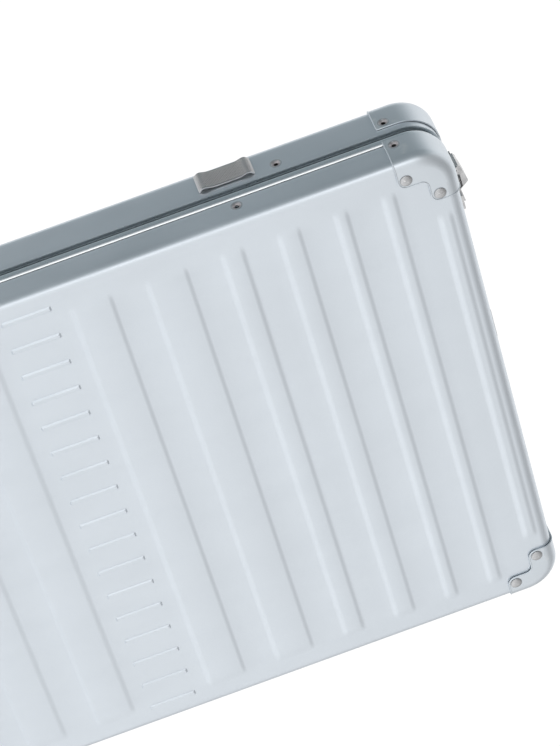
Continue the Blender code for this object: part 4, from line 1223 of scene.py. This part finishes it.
def spoke(name, centre, end, index, body):
    """A tapered rib from the hub's boss to its rim, on one side of the web."""
    angle = math.pi / 3 * index
    out = Vector((0, math.cos(angle), math.sin(angle)))
    across = Vector((0, -math.sin(angle), math.cos(angle)))
    points = []
    for radius, width, rise in ((4.6, 1.3, 7.4), (10.3, 0.9, 6.9)):
        for sign in (-1, 1):
            for along in (4.3, rise):
                inner = Vector(centre) + out * radius + across * width * sign
                points.append(tuple(inner + Vector((end * along, 0, 0))))
    piece = finished(name, mesh_of(name, points, BOX_FACES), "hub", body)
    bevelled(piece, 0.3)


# CAD nodes that are shown as they are


SHOWN = {
    "foot_": ("plastic", 0.5),
    "wheel_housing_": ("plastic", 0.4),
    "wheel_axle_": ("steel", 0.2),
    "handle_tray": ("plastic", 0.4),
    "outer_tube_": ("tube", 0.0),
    "middle_tube_": ("tube", 0.0),
    "inner_tube_": ("tube", 0.0),
    "pull_grip": ("grip", 0.3),
    "release_button": ("button", 0.2),
    "carry_handle": ("grip", 0.3),
    "carry_mount_": ("plastic", 0.3),
    "hinge_leaf_": ("steel", 0.25),
    "hinge_pin_": ("steel", 0.2),
    "latch_keeper_": ("steel", 0.3),
    "clamp_base": ("steel", 0.25),
    "clamp_pin": ("steel", 0.2),
    "clamp_striker": ("steel", 0.3),
    "clamp_lever": ("latch", 0.3),
    "buckle_": ("plastic", 0.3),
}


def dress_cad_nodes():
    for name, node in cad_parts.items():
        for start, (paint, edge) in SHOWN.items():
            if name.startswith(start):
                node.data.materials.clear()
                node.data.materials.append(PAINT[paint])
                node.data.shade_smooth()
                node.data.set_sharp_from_angle(angle=math.radians(35))
                if edge:
                    bevelled(node, edge)


# Light, floor and camera

UPWARD_LIGHT = (1.22, 0.40)  # from low to high, in front of the lid
EVEN_LIGHT = 1.05
DIM_WAY, DIM_REACH = (-0.92, 0.38, 0.0), (0.42, 0.84)
DIM_SIDE, DIM_TINT = 0.26, (0.80, 0.94, 1.0, 1)
FAR_WAY, FAR_REACH, DIM_FAR = (0.98, 0.05, 0.0), (0.86, 0.97), 0.6


class Sky:
    """Builds the world's shares of light by the way looked."""

    def __init__(self, tree):
        self.tree = tree
        self.coordinates = tree.nodes.new("ShaderNodeTexCoord").outputs["Generated"]

    def towards(self, direction, low, high, start, end):
        """A share from low to high as the way looked comes round to this direction."""
        dot = self.tree.nodes.new("ShaderNodeVectorMath")
        dot.operation = "DOT_PRODUCT"
        self.tree.links.new(self.coordinates, dot.inputs[0])
        dot.inputs[1].default_value = Vector(direction).normalized()
        ranged = self.tree.nodes.new("ShaderNodeMapRange")
        ranged.interpolation_type = "SMOOTHSTEP"
        self.tree.links.new(dot.outputs["Value"], ranged.inputs["Value"])
        for name, number in (("From Min", start), ("From Max", end), ("To Min", low), ("To Max", high)):
            ranged.inputs[name].default_value = number
        return ranged.outputs["Result"]

    def times(self, first, second):
        product = self.tree.nodes.new("ShaderNodeMath")
        product.operation = "MULTIPLY"
        self.tree.links.new(first, product.inputs[0])
        self.tree.links.new(second, product.inputs[1])
        return product.outputs["Value"]

    def mixed(self, kind, factor, first, second):
        mix = self.tree.nodes.new("ShaderNodeMix")
        mix.data_type = kind
        offset = 2 if kind == "FLOAT" else 6
        self.tree.links.new(factor, mix.inputs[0])
        for socket, value in zip(mix.inputs[offset : offset + 2], (first, second)):
            if hasattr(value, "is_output"):
                self.tree.links.new(value, socket)
            else:
                socket.default_value = value
        return mix.outputs[0 if kind == "FLOAT" else 2]


def make_world():
    """Soft studio light from all round: graded from low to high before the lid, and dim past the latches."""
    world = bpy.data.worlds.new("studio")
    world.use_nodes = True
    bpy.context.scene.world = world
    background = world.node_tree.nodes["Background"]
    sky = Sky(world.node_tree)
    before_lid = sky.towards((0, -1, 0), 0.0, 1.0, -0.25, 0.30)
    up = sky.towards((0, 0, 1), *UPWARD_LIGHT, -0.35, 0.75)
    past_latches = sky.towards(DIM_WAY, 0.0, 1.0, *DIM_REACH)
    level = sky.mixed("FLOAT", before_lid, EVEN_LIGHT, up)
    level = sky.times(level, sky.towards(DIM_WAY, 1.0, DIM_SIDE, *DIM_REACH))
    level = sky.times(level, sky.towards(FAR_WAY, 1.0, DIM_FAR, *FAR_REACH))
    tint = sky.mixed("RGBA", past_latches, (1, 1, 1, 1), DIM_TINT)
    world.node_tree.links.new(level, background.inputs["Strength"])
    world.node_tree.links.new(tint, background.inputs["Color"])


def make_floor():
    """A pale floor that fades out round the case, so that no edge of it shows."""
    nodes = Nodes("pale_floor")
    nodes.colour(nodes.mottled(nodes.noise(6, 4), (0.84, 0.85, 0.86), (0.88, 0.885, 0.89)))
    nodes.rough(nodes.spread(nodes.noise(30, 3), 0.55, 0.65))
    distance = nodes.add("ShaderNodeVectorMath", operation="LENGTH")
    nodes.link(nodes.coordinates, distance.inputs[0])
    nodes.link(nodes.spread(distance.outputs["Value"], 1.0, 0.0, 0.8, 1.9), nodes.shader.inputs["Alpha"])
    nodes.set(Metallic=0.0, Emission_Color=(1, 1, 1, 1), Emission_Strength=0.40)
    mesh = bpy.data.meshes.new("floor")
    shape = bmesh.new()
    bmesh.ops.create_circle(shape, cap_ends=True, radius=2.0, segments=96)
    shape.to_mesh(mesh)
    shape.free()
    mesh.materials.append(nodes.material)
    floor = linked("floor", mesh)
    floor.location.z = -0.0002


def make_light(name, direction, distance, size, power):
    data = bpy.data.lights.new(name, "AREA")
    data.shape = "RECTANGLE"
    data.size, data.size_y = size
    data.energy = power
    light = linked(name, data)
    target = Vector((0, 0, 0.4))
    light.location = target + Vector(direction).normalized() * distance
    light.rotation_mode = "QUATERNION"
    light.rotation_quaternion = (target - light.location).to_track_quat("-Z", "Y")
    return light


# The lens is in millimetres for a sensor 36 mm on its long side
LENS = 173.05
CAMERA = (-2040.9, -2182.6, 435.6)
CAMERA_RIGHT = Vector((0.2265, -0.2535, 0.9404))
CAMERA_AHEAD = Vector((0.6729, 0.7388, 0.0370))


def make_camera():
    data = bpy.data.cameras.new("camera")
    data.lens = LENS
    data.sensor_width = 36.0
    data.clip_start, data.clip_end = 0.05, 60.0
    camera = linked("camera", data)
    ahead = CAMERA_AHEAD.normalized()
    right = (CAMERA_RIGHT - ahead * CAMERA_RIGHT.dot(ahead)).normalized()
    up = right.cross(ahead)
    turn = Matrix((right, up, -ahead)).transposed().to_4x4()
    camera.matrix_world = Matrix.Translation(place(*CAMERA)) @ turn
    bpy.context.scene.camera = camera


make_front_shell()
make_back_shell()
make_frames()
make_corner_plates()
make_latch_rivets()
for height, end_name in zip(LATCH_HEIGHTS, ("lower", "upper")):
    make_latch_slider(height, end_name)
make_linings()
make_pocket()
make_strap(-1, "left")
make_strap(1, "right")
make_hinge_screws()
make_wheel(-1, "left")
make_wheel(1, "right")
dress_cad_nodes()

make_world()
make_floor()
make_light("edge_light", (-0.80, -0.60, 0.10), 3.2, (0.6, 1.8), 6)
make_camera()
bpy.context.scene.view_settings.view_transform = "Standard"
